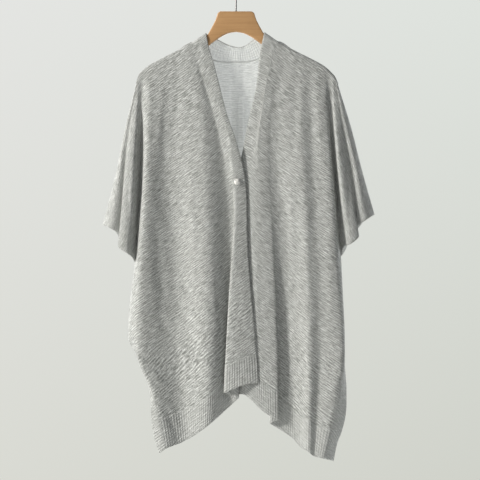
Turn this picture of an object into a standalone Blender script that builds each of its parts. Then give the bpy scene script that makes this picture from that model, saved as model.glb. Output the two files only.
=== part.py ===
"""A knit poncho cardigan hanging on a flat wooden hanger.

Sizes are in millimetres.  x runs to the viewer's right, y away from the viewer and z up, and
the origin is the point inside the hook where a rail carries it.  A drop is a distance below
the hanger's top edge.  Left and right are the viewer's.

The cloth is drawn as strands.  A strand is the line that one crest or hollow of a fold follows
from the shoulder seam down to the hem, so each row of the tables below is one fold.  A course
is a level line of the knit: it crosses every strand at the same share of its way down.
"""

import math
from collections import namedtuple

import bmesh
import bpy
from mathutils import Vector

MM = 0.001

# --- Cloth ---------------------------------------------------------------------------------
WALL = 1.8                 # thickness of the knit
SEAM_GAP = 0.3             # left open between two pieces that are sewn together
SHARPEST_MITRE = 0.3       # keeps a piece's corner from being drawn back too far
RIB_PITCH = 6.6            # from one rib of the bands to the next
RIB_RISE = 0.7             # how far a rib stands out of its band
BUTTON_COURSE = 0.42       # the course that the button sits on

# --- Hanger and hook -----------------------------------------------------------------------
WOOD_TOP = -75.0           # the hanger's top edge, below the bearing point
WOOD_THICK = 12.0
WOOD_ROUND = 3.0           # radius along the edges of the wood
WOOD_BELOW_CLOTH = 2.1     # from the middle of the cloth down to the wood, on the shoulders
WIRE_RADIUS = 1.8
HOOK_RADIUS = 20.0         # to the middle of the wire
HOOK_TURN = math.radians(-50.0)      # where the bent stem runs into the round of the hook
HOOK_END = math.radians(196.0)
HOOK_STEPS = 18
STEM = 28.0                # straight wire above the wood
BEND_PULL = 16.0           # how far the bend above the stem keeps each end's heading
BEND_STEPS = 6

# --- Button --------------------------------------------------------------------------------
BUTTON_RADIUS = 7.0
BUTTON_HEIGHT = 5.2
BUTTON_SIDES = 20
BUTTON_IN = 17.0           # from the front's free edge to the button's middle
# Rings of the button from its seat up: shares of its radius and of its height.
Ring = namedtuple("Ring", "out height")
BUTTON_RINGS = (Ring(0.80, 0.0), Ring(0.97, 0.12), Ring(1.0, 0.28), Ring(0.93, 0.52),
                Ring(0.72, 0.78), Ring(0.40, 0.95))

# How the cloth passes over the hanger's arm: distance from the middle plane, and drop.
Lap = namedtuple("Lap", "out drop")
LAP = (Lap(SEAM_GAP / 2, 0.0), Lap(5.9, 0.7), Lap(7.9, 5.0))

# Close below the hanger's tip the sleeve's folds are only this share of their depth.
GATHER_WAY, GATHER_DEPTH = 0.14, 0.2

# Middle of the cloth along the shoulder seam: distance from the centre line, and drop.
Shoulder = namedtuple("Shoulder", "out drop")
SHOULDER = (Shoulder(60, 44.5), Shoulder(77, 56.5), Shoulder(97, 69), Shoulder(121, 82),
            Shoulder(146, 94.5), Shoulder(171, 107), Shoulder(191, 120), Shoulder(204, 133))

# Courses, as shares of the way from the shoulder to the hem.
YOKE, CHEST, UNDERARM, SLIT, THIGH, HEM_SEAM = 0.12, 0.30, 0.48, 0.735, 0.87, 0.92
STATIONS = (0.0, CHEST, UNDERARM, SLIT, THIGH, 1.0)
FOLD_STATIONS = (0.0, YOKE) + STATIONS[1:]
COURSES = (0.03, 0.07, YOKE, 0.18, 0.24, CHEST, 0.36, BUTTON_COURSE, UNDERARM, 0.54, 0.61,
           0.675, SLIT, 0.79, 0.84, 0.88, HEM_SEAM, 0.96, 1.0)

# A fold strand: x where it leaves the shoulder and at each station below it, how far it stands
# off the middle plane at the stations below the shoulder, its drop at the hem, and the number
# of cells from it to the next strand.
Fold = namedtuple("Fold", "name x_top x_yoke x_chest x_underarm x_slit x_thigh x_hem "
                          "off_chest off_underarm off_slit off_thigh off_hem hem_drop cells")

# A point of a free edge or a side seam: x, drop, and distance off the middle plane.
Edge = namedtuple("Edge", "x drop off")

# A sleeve strand runs from the hanger's tip to the cuff: x and drop where it leaves the
# shoulder, x at a third and two thirds of the way and at the cuff, the drop there, and the
# distances off the middle plane.
Sleeve = namedtuple("Sleeve", "name x_top top_drop x_third x_two_thirds x_cuff cuff_drop "
                              "off_third off_two_thirds off_cuff cells")

LEFT_EDGE = (Edge(-63, 46.5, 0), Edge(-58, 75, 8), Edge(-48, 108, 10.5), Edge(-33, 166, 14),
             Edge(-17, 226, 17.5), Edge(-4, 261, 19.5), Edge(3, 285, 20.5), Edge(10.5, 312, 21.5),
             Edge(18, 348, 22.5), Edge(21.5, 390, 24), Edge(23.5, 484, 26.5),
             Edge(28, 560, 28), Edge(35, 630, 29), Edge(42, 717, 29), Edge(45, 778, 29))
# Width of a front's flat edging at the stations, and how far its inner side stands off.
LEFT_EDGING = (10.0, 8.0, 16.0, 20.0, 20.0, 20.0)
LEFT_EDGING_OFF = (8.0, 20.5, 27.0, 32.0, 33.0, 33.0)
LEFT_FOLDS = (
    Fold("pleat edge", -80, -56, -12, -2.5, -13, -18.5, -23, 20.5, 26.5, 31.5, 32.5, 32.5, 798, 1),
    Fold("pleat back", -82.5, -57.5, -15.5, -4.5, -14.5, -20, -24.5, 19.3, 23.6, 27.5, 28.5, 28.5, 798, 2),
    Fold("pleat return", -85, -59, -19, 2, 1, 2, 4, 17.8, 21.3, 24.3, 25.3, 25.3, 809, 1),
    Fold("return back", -88, -61, -23, 3.5, 3, 4, 5.5, 16.6, 19.6, 19.8, 20.5, 20.5, 809, 3),
    Fold("pleat hollow", -92, -63.5, -29, -12.5, -11, -11.5, -12, 14.8, 13.5, 12.5, 12.5, 12.5, 826, 3),
    Fold("front ridge", -110, -74, -65, -61, -58, -57, -60, 26, 32, 34.5, 35, 34, 867, 3),
    Fold("front hollow", -151, -148, -143, -130, -119, -116, -108, 15, 12.5, 12.5, 13, 14.5, 900, 4),
    Fold("side ridge", -183, -185, -189, -198, -206, -168, -147, 28, 31, 30, 29, 28, 915, 2))
LEFT_SIDE = (Edge(-197, 126, 8), Edge(-197.5, 186, 7), Edge(-198, 270, 5), Edge(-200, 354, 3),
             Edge(-205, 438, 2), Edge(-211, 520, 1.2), Edge(-217, 572, 0.15),
             Edge(-223, 623, 0.15), Edge(-226, 680, 0.15), Edge(-210, 719, 0.15),
             Edge(-195, 749, 8), Edge(-185, 774, 14), Edge(-178.5, 805, 19),
             Edge(-177, 840, 21), Edge(-173, 880, 22), Edge(-160, 925, 22))
LEFT_SIDE_DROPS = (126, 368, 526, 719, 823, 925)
LEFT_SLEEVE = (
    Sleeve("valley wall", -202, 131, -204.5, -208.5, -217, 516, 12, 14, 11, 2),
    Sleeve("inner lobe", -203.5, 133.5, -211, -217, -227, 507, 21, 30, 29, 2),
    Sleeve("inner edge", -205, 136.5, -219, -233, -245, 493.5, 19, 26, 26, 1),
    Sleeve("outer hollow", -205.7, 139.5, -224, -235, -241, 470, 13, 15, 14, 1),
    Sleeve("outer lobe", -207.7, 144.8, -231, -247, -262, 455, 12, 17, 19, 2))
LEFT_FOLD_LINE = Sleeve("sleeve top", -209.5, 151, -234, -254, -279, 447.5, 0.15, 0.15, 0.15, 0)

RIGHT_EDGE = (Edge(60, 44.5, 0), Edge(52, 83, 8), Edge(48.5, 108, 8.5), Edge(44.5, 150, 9.5),
              Edge(36.5, 190, 11), Edge(24.5, 240, 12), Edge(17, 281, 12.5),
              Edge(11, 310, 13), Edge(2, 333, 13.8), Edge(0, 364, 13),
              Edge(-1, 406, 12.3), Edge(-1, 480, 11.5), Edge(-1, 606, 10),
              Edge(-0.5, 711, 10), Edge(0, 803, 11))
RIGHT_EDGING = (20.0, 20.0, 20.0, 20.0, 20.0, 20.0)
RIGHT_EDGING_OFF = (8.0, 16.0, 17.8, 19.5, 20.0, 19.5)
RIGHT_FOLDS = (
    Fold("lap crest", 91, 62, 47.5, 47, 55, 58, 60, 20.5, 24.5, 26, 27, 27, 839, 2),
    Fold("fold edge", 98, 74, 65, 73, 83, 86, 87, 19, 22, 25, 26, 26, 854, 1),
    Fold("fold back", 101, 77, 68.5, 76.5, 84.5, 87.5, 88, 18, 20.5, 22, 22.5, 22.5, 854, 2),
    Fold("fold return", 104, 80, 72, 81, 77.5, 73, 72, 17, 18.6, 19, 19.3, 19.3, 863, 1),
    Fold("return back", 107, 83, 76, 86, 79, 72.5, 71, 16.3, 17, 14.8, 14.8, 14.8, 863, 2),
    Fold("fold hollow", 111, 90, 87.5, 105, 113, 115, 116, 16, 15.5, 12, 11, 11, 892, 2),
    Fold("ridge flank", 118, 103, 107, 127, 132, 135, 135, 20.5, 22, 21, 21, 20.5, 911, 2),
    Fold("front ridge", 134, 135, 140, 149, 152, 152, 151, 27.5, 32, 36, 37, 36, 920, 3),
    Fold("front hollow", 154, 155, 161, 171, 174, 168, 162, 23.5, 28, 31, 32, 31, 929, 4),
    Fold("side ridge", 183, 190, 201, 210, 223, 206, 182, 25.5, 28, 34, 36, 36, 934, 2))
RIGHT_SIDE = (Edge(194.5, 123.5, 8), Edge(194.5, 182, 7), Edge(197, 236, 6), Edge(201, 291, 5),
              Edge(205, 343, 3.5), Edge(210, 396, 2.5), Edge(215, 448, 2),
              Edge(219.5, 513, 1.2), Edge(222.5, 572, 0.15), Edge(226, 673, 0.15),
              Edge(226, 719, 0.15), Edge(229, 762, 3), Edge(231, 790, 5), Edge(231, 824, 6),
              Edge(229, 848, 6), Edge(222, 878, 7), Edge(211, 908, 8), Edge(204, 942, 8))
RIGHT_SIDE_DROPS = (123.5, 359, 513, 719, 834, 942)
RIGHT_SLEEVE = (
    Sleeve("valley wall", 199.5, 128.5, 204.5, 214, 225.5, 494, 11, 10, 7, 2),
    Sleeve("inner lobe", 202.5, 131.5, 209.5, 221, 240, 487, 20, 28, 27, 2),
    Sleeve("inner edge", 205.5, 135, 219, 237, 256, 472, 17, 22, 24, 1),
    Sleeve("outer hollow", 208, 139, 225.5, 243, 251, 455, 13, 14, 13, 1),
    Sleeve("outer lobe", 210.5, 144, 232, 253, 272, 437, 14, 19, 20, 2))
RIGHT_FOLD_LINE = Sleeve("sleeve top", 214, 151, 241.5, 264.5, 290, 426, 0.15, 0.15, 0.15, 0)

# The back runs from the left side to the right one, its neck part between the two rows that
# are named corner.
BACK_FOLDS = (
    Fold("left side ridge", -183, -185, -188, -190, -180, -156, -128, 25.5, 30, 33, 33, 32, 900, 2),
    Fold("left hollow", -153, -156.5, -159, -155, -150, -134, -109, 15.5, 17, 17, 17, 17, 881, 2),
    Fold("left ridge", -122, -124, -125, -122, -115, -104, -86, 24.5, 30, 33, 34, 33, 860, 2),
    Fold("left neck corner", -91, -90.5, -89.5, -86, -82, -73, -63, 15.5, 18, 17, 17, 17, 839, 2),
    Fold("left inner ridge", -66, -64, -61, -57, -52, -48, -42, 23.5, 28, 30, 31, 30, 820, 2),
    Fold("left inner hollow", -34, -34, -33.5, -31, -29, -27, -23, 18.2, 19, 18, 18, 18, 803, 2),
    Fold("left crease", -12, -11.75, -11, -10, -9, -8, -6, 24.8, 24, 25, 25, 26, 795, 2),
    Fold("centre", 2, 2, 2.5, 4, 6, 6, 8, 17.7, 20, 24, 27, 28, 791, 2),
    Fold("right crease", 16, 16, 17, 21, 25, 27, 29, 25, 25, 26, 26, 25, 793, 2),
    Fold("right inner hollow", 36, 36, 38, 44, 50, 52, 55, 18, 18, 16, 16, 17, 801, 2),
    Fold("right inner ridge", 64, 63.5, 65, 71, 80, 82, 84, 24.5, 29, 32, 33, 33, 816, 2),
    Fold("right neck corner", 88, 91, 96, 103, 109, 111, 113, 15.5, 17, 18, 18, 18, 833, 2),
    Fold("right ridge", 120, 122, 126, 132, 139, 141, 141, 25, 31, 34, 34, 33, 854, 2),
    Fold("right hollow", 149, 151, 155, 162, 168, 168, 166, 15.3, 16, 17, 18, 18, 877, 2),
    Fold("right side ridge", 179, 182, 188, 197, 220, 202, 181, 26.5, 31, 33, 33, 32, 904, 2))
BACK_LEFT_SLIT = (Edge(-210, 719, 0.15), Edge(-190, 752, 5), Edge(-176, 790, 7),
                  Edge(-170, 830, 7), Edge(-163, 875, 8), Edge(-150, 908, 9))
BACK_RIGHT_SLIT = (Edge(226, 719, 0.15), Edge(226, 760, 5), Edge(226, 800, 7),
                   Edge(222, 840, 7), Edge(212, 880, 8), Edge(199, 918, 9))
BACK_LEFT_DROPS = LEFT_SIDE_DROPS[:4] + (815, 908)
BACK_RIGHT_DROPS = RIGHT_SIDE_DROPS[:4] + (822, 918)
BACK_LEFT_SLEEVE = (
    Sleeve("valley wall", -202, 131, -205, -209, -217, 515, 11, 12, 8, 2),
    Sleeve("inner lobe", -203.5, 133.5, -212.5, -219, -229, 500, 19, 26, 25, 2),
    Sleeve("inner edge", -205, 136.5, -219, -230, -241, 484, 18, 24, 23, 1),
    Sleeve("outer hollow", -205.7, 139.5, -224, -237, -250, 466, 12, 14, 13, 1),
    Sleeve("outer lobe", -207.7, 144.8, -230, -247, -265, 451, 12, 17, 18, 2))
BACK_RIGHT_SLEEVE = (
    Sleeve("valley wall", 199.5, 128.5, 205.5, 217, 229.5, 500, 9, 8, 6, 2),
    Sleeve("inner lobe", 202.5, 131.5, 211.5, 225, 239, 480, 18, 25, 24, 2),
    Sleeve("inner edge", 205.5, 135, 219, 235, 250, 464, 18, 23, 22, 1),
    Sleeve("outer hollow", 208, 139, 226, 243, 261, 449, 12, 13, 13, 1),
    Sleeve("outer lobe", 210.5, 144, 233, 253, 273, 433, 13, 18, 19, 2))

# The back neckline: its free edge, and the seam where the band joins the back.  The first and
# last points stand on the two shoulder seams.  Over the arm the free edge leans towards the
# centre line and down by NECK_LEAN at each step of the lap.
NECK_LEAN = Edge(1.5, 0.8, 0)
NECK_EDGE = (Edge(-63, 46.5, 0), Edge(-48, 54, 8.5), Edge(-36, 60, 9.5), Edge(-18, 69, 11),
             Edge(6, 75, 11.5), Edge(22, 70, 11), Edge(34, 61, 9.5), Edge(46, 53, 8.5),
             Edge(60, 44.5, 0))
NECK_SEAM = (Edge(-91, 65.2, 0), Edge(-78, 84, 9), Edge(-62, 97, 11), Edge(-34, 104, 15),
             Edge(-12, 105, 18), Edge(4, 105, 16), Edge(20, 104.5, 18), Edge(38, 102, 15),
             Edge(58, 93, 11), Edge(74, 80, 9), Edge(88, 63.3, 0))


# --- Curves --------------------------------------------------------------------------------
def through(stations, values, at):
    """Value at a place, on a smooth curve through the stations that never overshoots them."""
    at = min(max(at, stations[0]), stations[-1])
    gaps = [b - a for a, b in zip(stations, stations[1:])]
    rises = [(b - a) / gap for a, b, gap in zip(values, values[1:], gaps)]
    k = 0
    while k < len(gaps) - 1 and at > stations[k + 1]:
        k += 1

    def slope(i):
        if i == 0 or i == len(gaps):
            return rises[min(i, len(rises) - 1)]
        before, after = rises[i - 1], rises[i]
        if before * after <= 0:
            return 0.0
        w1, w2 = 2 * gaps[i] + gaps[i - 1], gaps[i] + 2 * gaps[i - 1]
        return (w1 + w2) / (w1 / before + w2 / after)

    t = (at - stations[k]) / gaps[k]
    start, end = values[k], values[k + 1]
    leave, arrive = slope(k) * gaps[k], slope(k + 1) * gaps[k]
    return (start * (1 + 2 * t) * (1 - t) ** 2 + end * t * t * (3 - 2 * t)
            + leave * t * (1 - t) ** 2 - arrive * t * t * (1 - t))


def bend(before, start, end, after, share):
    """Point between start and end on a centripetal curve through all four points."""
    knots = [0.0]
    for a, b in ((before, start), (start, end), (end, after)):
        knots.append(knots[-1] + max((b - a).length, 0.01) ** 0.5)
    t = knots[1] + (knots[2] - knots[1]) * share

    def mix(a, b, first, last):
        return a + (b - a) * ((t - knots[first]) / (knots[last] - knots[first]))

    legs = mix(before, start, 0, 1), mix(start, end, 1, 2), mix(end, after, 2, 3)
    return mix(mix(legs[0], legs[1], 0, 2), mix(legs[1], legs[2], 1, 3), 1, 2)


def shoulder_drop(x):
    return through([p.out for p in SHOULDER], [p.drop for p in SHOULDER], abs(x))


def point(x, off, drop, side):
    """A point of the cloth; side is -1 for the fronts and +1 for the back."""
    return Vector((x, side * off, WOOD_TOP - drop))


# --- Strands -------------------------------------------------------------------------------
def over_arm(x, drop, side, lap):
    """Where a strand that starts at this point of the shoulder seam stands on the arm."""
    return point(x, LAP[lap].out, drop + LAP[lap].drop, side)


def fold_strand(fold, side, top_drop=None, top_off=None):
    """The strand's points, one for each step of the lap and then one for each course."""
    drop = shoulder_drop(fold.x_top) if top_drop is None else top_drop
    xs = fold[1:8]
    first_off = LAP[-1].out if top_off is None else top_off
    offs = (first_off,) + tuple(fold[8:13])
    start = drop + (LAP[-1].drop if top_drop is None else 0.0)
    row = [over_arm(fold.x_top, drop, side, lap) for lap in range(len(LAP) - 1)]
    for share in (0.0,) + COURSES:
        row.append(point(through(FOLD_STATIONS, xs, share), through(STATIONS, offs, share),
                         start + (fold.hem_drop - start) * share, side))
    return row


def edge_strand(edge, side, drops=None):
    """A strand along an edge, whose x and distance off the middle plane follow its drop."""
    falls = [p.drop for p in edge]
    start, end = edge[0].drop, edge[-1].drop
    row = [over_arm(edge[0].x, start, side, lap) for lap in range(len(LAP) - 1)]
    for share in (0.0,) + COURSES:
        low = start + LAP[-1].drop
        drop = low + (end - low) * share
        if drops:
            drop = through(STATIONS, (low,) + tuple(drops[1:]), share)
        off = max(through(falls, [p.off for p in edge], drop), 0.0)
        if share == 0.0:
            off = LAP[-1].out
        row.append(point(through(falls, [p.x for p in edge], drop), off, drop, side))
    return row


def edging_strand(edge_points, widths, offs, side, outwards):
    """The inner side of the flat edging: its width from the free edge, square to it."""
    row = []
    last = len(edge_points) - 1
    for i, here in enumerate(edge_points):
        along = edge_points[min(i + 1, last)] - edge_points[max(i - 1, 0)]
        if i < len(LAP):
            x = edge_points[0].x + outwards * widths[0]
            row.append(over_arm(x, shoulder_drop(x), side, i))
            continue
        share = COURSES[i - len(LAP)]
        square = Vector((along.z, 0.0, -along.x)).normalized()
        if square.x * outwards < 0:
            square.negate()
        off = through(STATIONS, offs, share)
        reach = math.sqrt(through(STATIONS, widths, share) ** 2 - (abs(here.y) - off) ** 2)
        row.append(Vector((here.x, side * off, here.z)) + square * reach)
    return row


def sleeve_strand(sleeve, side):
    """A strand from the hanger's tip to the cuff, down to the underarm's course only."""
    row = []
    outer_fold = sleeve.cells == 0
    for lap in range(len(LAP)):
        out = sleeve.off_cuff if outer_fold else LAP[lap].out
        row.append(point(sleeve.x_top, out, sleeve.top_drop + LAP[lap].drop, side))
    thirds = (0.0, 1 / 3, 2 / 3, 1.0)
    xs = (sleeve.x_top, sleeve.x_third, sleeve.x_two_thirds, sleeve.x_cuff)
    out = row[-1].y * side
    gathered = out + (sleeve.off_third - out) * GATHER_DEPTH
    offs = (out, gathered, sleeve.off_third, sleeve.off_two_thirds, sleeve.off_cuff)
    depths = (0.0, GATHER_WAY) + thirds[1:]
    start = sleeve.top_drop + LAP[-1].drop
    for share in COURSES[:COURSES.index(UNDERARM) + 1]:
        way = share / UNDERARM
        row.append(point(through(thirds, xs, way), through(depths, offs, way),
                         start + (sleeve.cuff_drop - start) * way, side))
    return row


# --- The knit as a net of cells --------------------------------------------------------------
class Knit:
    """One side of the garment, as four-sided cells that share their corners.

    Each cell belongs to a piece.  A piece becomes a wall of even thickness, drawn back from
    its neighbours by half a seam gap.
    """

    def __init__(self, side):
        self.side = side
        self.points = []
        self.cells = []
        self.on_seam = set()
        self.normals = []

    def add(self, place):
        self.points.append(place)
        return len(self.points) - 1

    def cell(self, corners, piece):
        self.cells.append((tuple(corners), piece))

    def find_normals(self):
        """Outward at every corner; level across a seam that lies in the middle plane."""
        sums = [Vector() for _ in self.points]
        for corners, _ in self.cells:
            a, b, c, d = (self.points[i] for i in corners)
            across = (c - a).cross(d - b).normalized()
            for i in corners:
                sums[i] += across
        for i in self.on_seam:
            sums[i].y = 0.0
        self.normals = [s.normalized() for s in sums]

    def drawn_back(self, piece):
        """The piece's corners, moved square off the seams that it shares with other pieces."""
        beside = {}
        for corners, owner in self.cells:
            middle = sum((self.points[i] for i in corners), Vector()) / 4
            for k in range(4):
                pair = frozenset((corners[k], corners[k - 1]))
                beside.setdefault(pair, []).append((owner, middle))
        moved = {i: self.points[i] for corners, owner in self.cells if owner == piece
                 for i in corners}
        pulls = {}
        for pair, cells in beside.items():
            owners = [owner for owner, _ in cells]
            if piece not in owners or len(set(owners)) == 1:
                continue
            a, b = pair
            along = (self.points[b] - self.points[a]).normalized()
            inwards = cells[owners.index(piece)][1] - self.points[a]
            inwards -= along * inwards.dot(along)
            for i in pair:
                pulls.setdefault(i, []).append(inwards.normalized())
        for i, directions in pulls.items():
            pull = sum(directions, Vector()) / len(directions)
            reach = SEAM_GAP / 2 / max(pull.length_squared, SHARPEST_MITRE)
            moved[i] = self.points[i] + pull * reach
        return moved

    def wall(self, piece):
        """A closed wall over all the piece's cells."""
        moved = self.drawn_back(piece)
        order = sorted(moved)
        outer = {i: n for n, i in enumerate(order)}
        inner = {i: n + len(order) for n, i in enumerate(order)}
        places = [moved[i] + self.normals[i] * (WALL / 2) for i in order]
        places += [moved[i] - self.normals[i] * (WALL / 2) for i in order]
        faces = []
        sides = {}
        for corners, owner in self.cells:
            if owner != piece:
                continue
            a, b, c, d = corners
            faces += [(outer[a], outer[b], outer[c]), (outer[a], outer[c], outer[d]),
                      (inner[a], inner[c], inner[b]), (inner[a], inner[d], inner[c])]
            for start, end in ((a, b), (b, c), (c, d), (d, a)):
                if (end, start) in sides:
                    del sides[(end, start)]
                else:
                    sides[(start, end)] = True
        for start, end in sides:
            faces += turned(closing(start, end, outer, inner))
        return places, faces

    def ribbed_wall(self, piece, strip):
        """A closed wall over a strip of cells, with ribs across it on its outer side only.

        The strip is a list of rungs, each a list of corners from one long side to the other.
        """
        moved = self.drawn_back(piece)
        places, outer, inner = [], [], []

        def line(rung, after, share, rise):
            row = []
            for i, j in zip(rung, after):
                normal = self.normals[i].lerp(self.normals[j], share).normalized()
                places.append(moved[i].lerp(moved[j], share) + normal * rise)
                row.append(len(places) - 1)
            return row

        for rung, after in zip(strip, strip[1:]):
            middle = len(rung) // 2
            length = (self.points[after[middle]] - self.points[rung[middle]]).length
            ribs = max(1, round(length / RIB_PITCH))
            for n in range(ribs):
                outer.append(line(rung, after, n / ribs, WALL / 2))
                inner.append(line(rung, after, n / ribs, -WALL / 2))
                outer.append(line(rung, after, (n + 0.5) / ribs, WALL / 2 + RIB_RISE))
        outer.append(line(strip[-1], strip[-1], 0.0, WALL / 2))
        inner.append(line(strip[-1], strip[-1], 0.0, -WALL / 2))

        last = len(strip[0]) - 1
        faces = cells_between(outer, False) + cells_between(inner, True)
        for j in (0, last):
            for k in range(len(inner) - 1):
                low, rib, high = (outer[2 * k + n][j] for n in range(3))
                start, end = inner[k][j], inner[k + 1][j]
                side = [(low, rib, start), (rib, end, start), (rib, high, end)]
                faces += turned(side) if j else side
        for k in (0, -1):
            outside, inside = dict(zip(strip[k], outer[k])), dict(zip(strip[k], inner[k]))
            for start, end in zip(strip[k], strip[k][1:]):
                cap = closing(start, end, outside, inside)
                faces += cap if k else turned(cap)
        return places, faces


def turned(faces):
    return [face[::-1] for face in faces]


def closing(start, end, outer, inner):
    """Two triangles across the wall, cut along the same diagonal on both sides of a seam."""
    if start < end:
        return [(outer[start], outer[end], inner[start]), (outer[end], inner[end], inner[start])]
    return [(outer[start], outer[end], inner[end]), (outer[start], inner[end], inner[start])]


def cells_between(lines, inside_out):
    """Triangles between neighbouring lines of equally many points."""
    faces = []
    for a, b in zip(lines, lines[1:]):
        for j in range(len(a) - 1):
            faces += [(a[j], a[j + 1], b[j + 1]), (a[j], b[j + 1], b[j])]
    return turned(faces) if inside_out else faces


def mirrored(place):
    return Vector((place.x, -place.y, place.z))


def woven_row(stops, cells, closed_start, closed_end):
    """Points along one course, smooth through the strands, with so many cells between them."""
    before = mirrored(stops[1]) if closed_start else stops[0] * 2 - stops[1]
    after = mirrored(stops[-2]) if closed_end else stops[-1] * 2 - stops[-2]
    line = [before] + stops + [after]
    row = []
    for i, count in enumerate(cells):
        for step in range(count):
            row.append(bend(line[i], line[i + 1], line[i + 2], line[i + 3], step / count))
    row.append(stops[-1])
    return row


ROWS = len(LAP) + len(COURSES)
UNDERARM_ROW = len(LAP) + COURSES.index(UNDERARM)
SLIT_ROW = len(LAP) + COURSES.index(SLIT)
HEM_SEAM_ROW = len(LAP) + COURSES.index(HEM_SEAM)
BUTTON_ROW = len(LAP) + COURSES.index(BUTTON_COURSE)


def front_rows(edge, edging, edging_off, folds, side_edge, side_drops, sleeve, fold_line,
               outwards):
    """Every course of one front from its free edge out, and the number of body cells."""
    free = edge_strand(edge, -1)
    strands = [free, edging_strand(free, edging, edging_off, -1, outwards)]
    strands += [fold_strand(fold, -1) for fold in folds]
    strands.append(edge_strand(side_edge, -1, side_drops))
    cells = [1, 1] + [fold.cells for fold in folds]
    sleeve_strands = [sleeve_strand(s, -1) for s in sleeve + (fold_line,)]
    sleeve_cells = [1] + [s.cells for s in sleeve]
    rows = []
    for r in range(ROWS):
        stops = [strand[r] for strand in strands]
        counts = list(cells)
        if r <= UNDERARM_ROW:
            stops += [strand[r] for strand in sleeve_strands]
            counts += sleeve_cells
        closed = r < SLIT_ROW
        rows.append(woven_row(stops, counts, False, closed))
    return rows, cells


def knit_front(name, tables, outwards):
    """One front with its bands: the knit, and the strips that its bands are ribbed along."""
    rows, cells = front_rows(*tables, outwards)
    body = sum(cells)
    slit_seam = body - cells[-1]
    knit = Knit(-1)
    ids = [[knit.add(place) for place in row] for row in rows]
    for r, row in enumerate(ids):
        if r == 0:
            knit.on_seam.update(row)
        elif r <= UNDERARM_ROW:
            knit.on_seam.add(row[-1])
        elif r <= SLIT_ROW:
            knit.on_seam.add(row[body])

    def owner(r, c):
        if r >= SLIT_ROW and c >= slit_seam:
            return "slit_" + name
        if r >= HEM_SEAM_ROW:
            return "hem_" + name
        return name

    for r in range(ROWS - 1):
        width = min(len(ids[r]), len(ids[r + 1])) - 1
        for c in range(width):
            corners = (ids[r][c], ids[r][c + 1], ids[r + 1][c + 1], ids[r + 1][c])
            if outwards > 0:
                corners = corners[::-1]
            knit.cell(corners, owner(r, c))
    knit.find_normals()
    flip = outwards < 0
    strips = {
        "slit_" + name: [rung(row[slit_seam:body + 1], flip) for row in ids[SLIT_ROW:]],
        "hem_" + name: [rung([ids[r][c] for r in range(HEM_SEAM_ROW, ROWS)], not flip)
                        for c in range(slit_seam + 1)]}
    return knit, strips, ids


def rung(corners, flip):
    return list(corners) if flip else list(corners)[::-1]


def down_to_slit(side_edge, slit_edge):
    """A side seam shared with the front, with the back's own edge below it."""
    return tuple(p for p in side_edge if p.drop < slit_edge[0].drop) + slit_edge


def neck_places(edge, xs):
    """Points of the back neckline at the given distances from the centre line."""
    along = [p.x for p in edge]
    return [point(x, through(along, [p.off for p in edge], x),
                  through(along, [p.drop for p in edge], x), 1) for x in xs]


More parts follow.
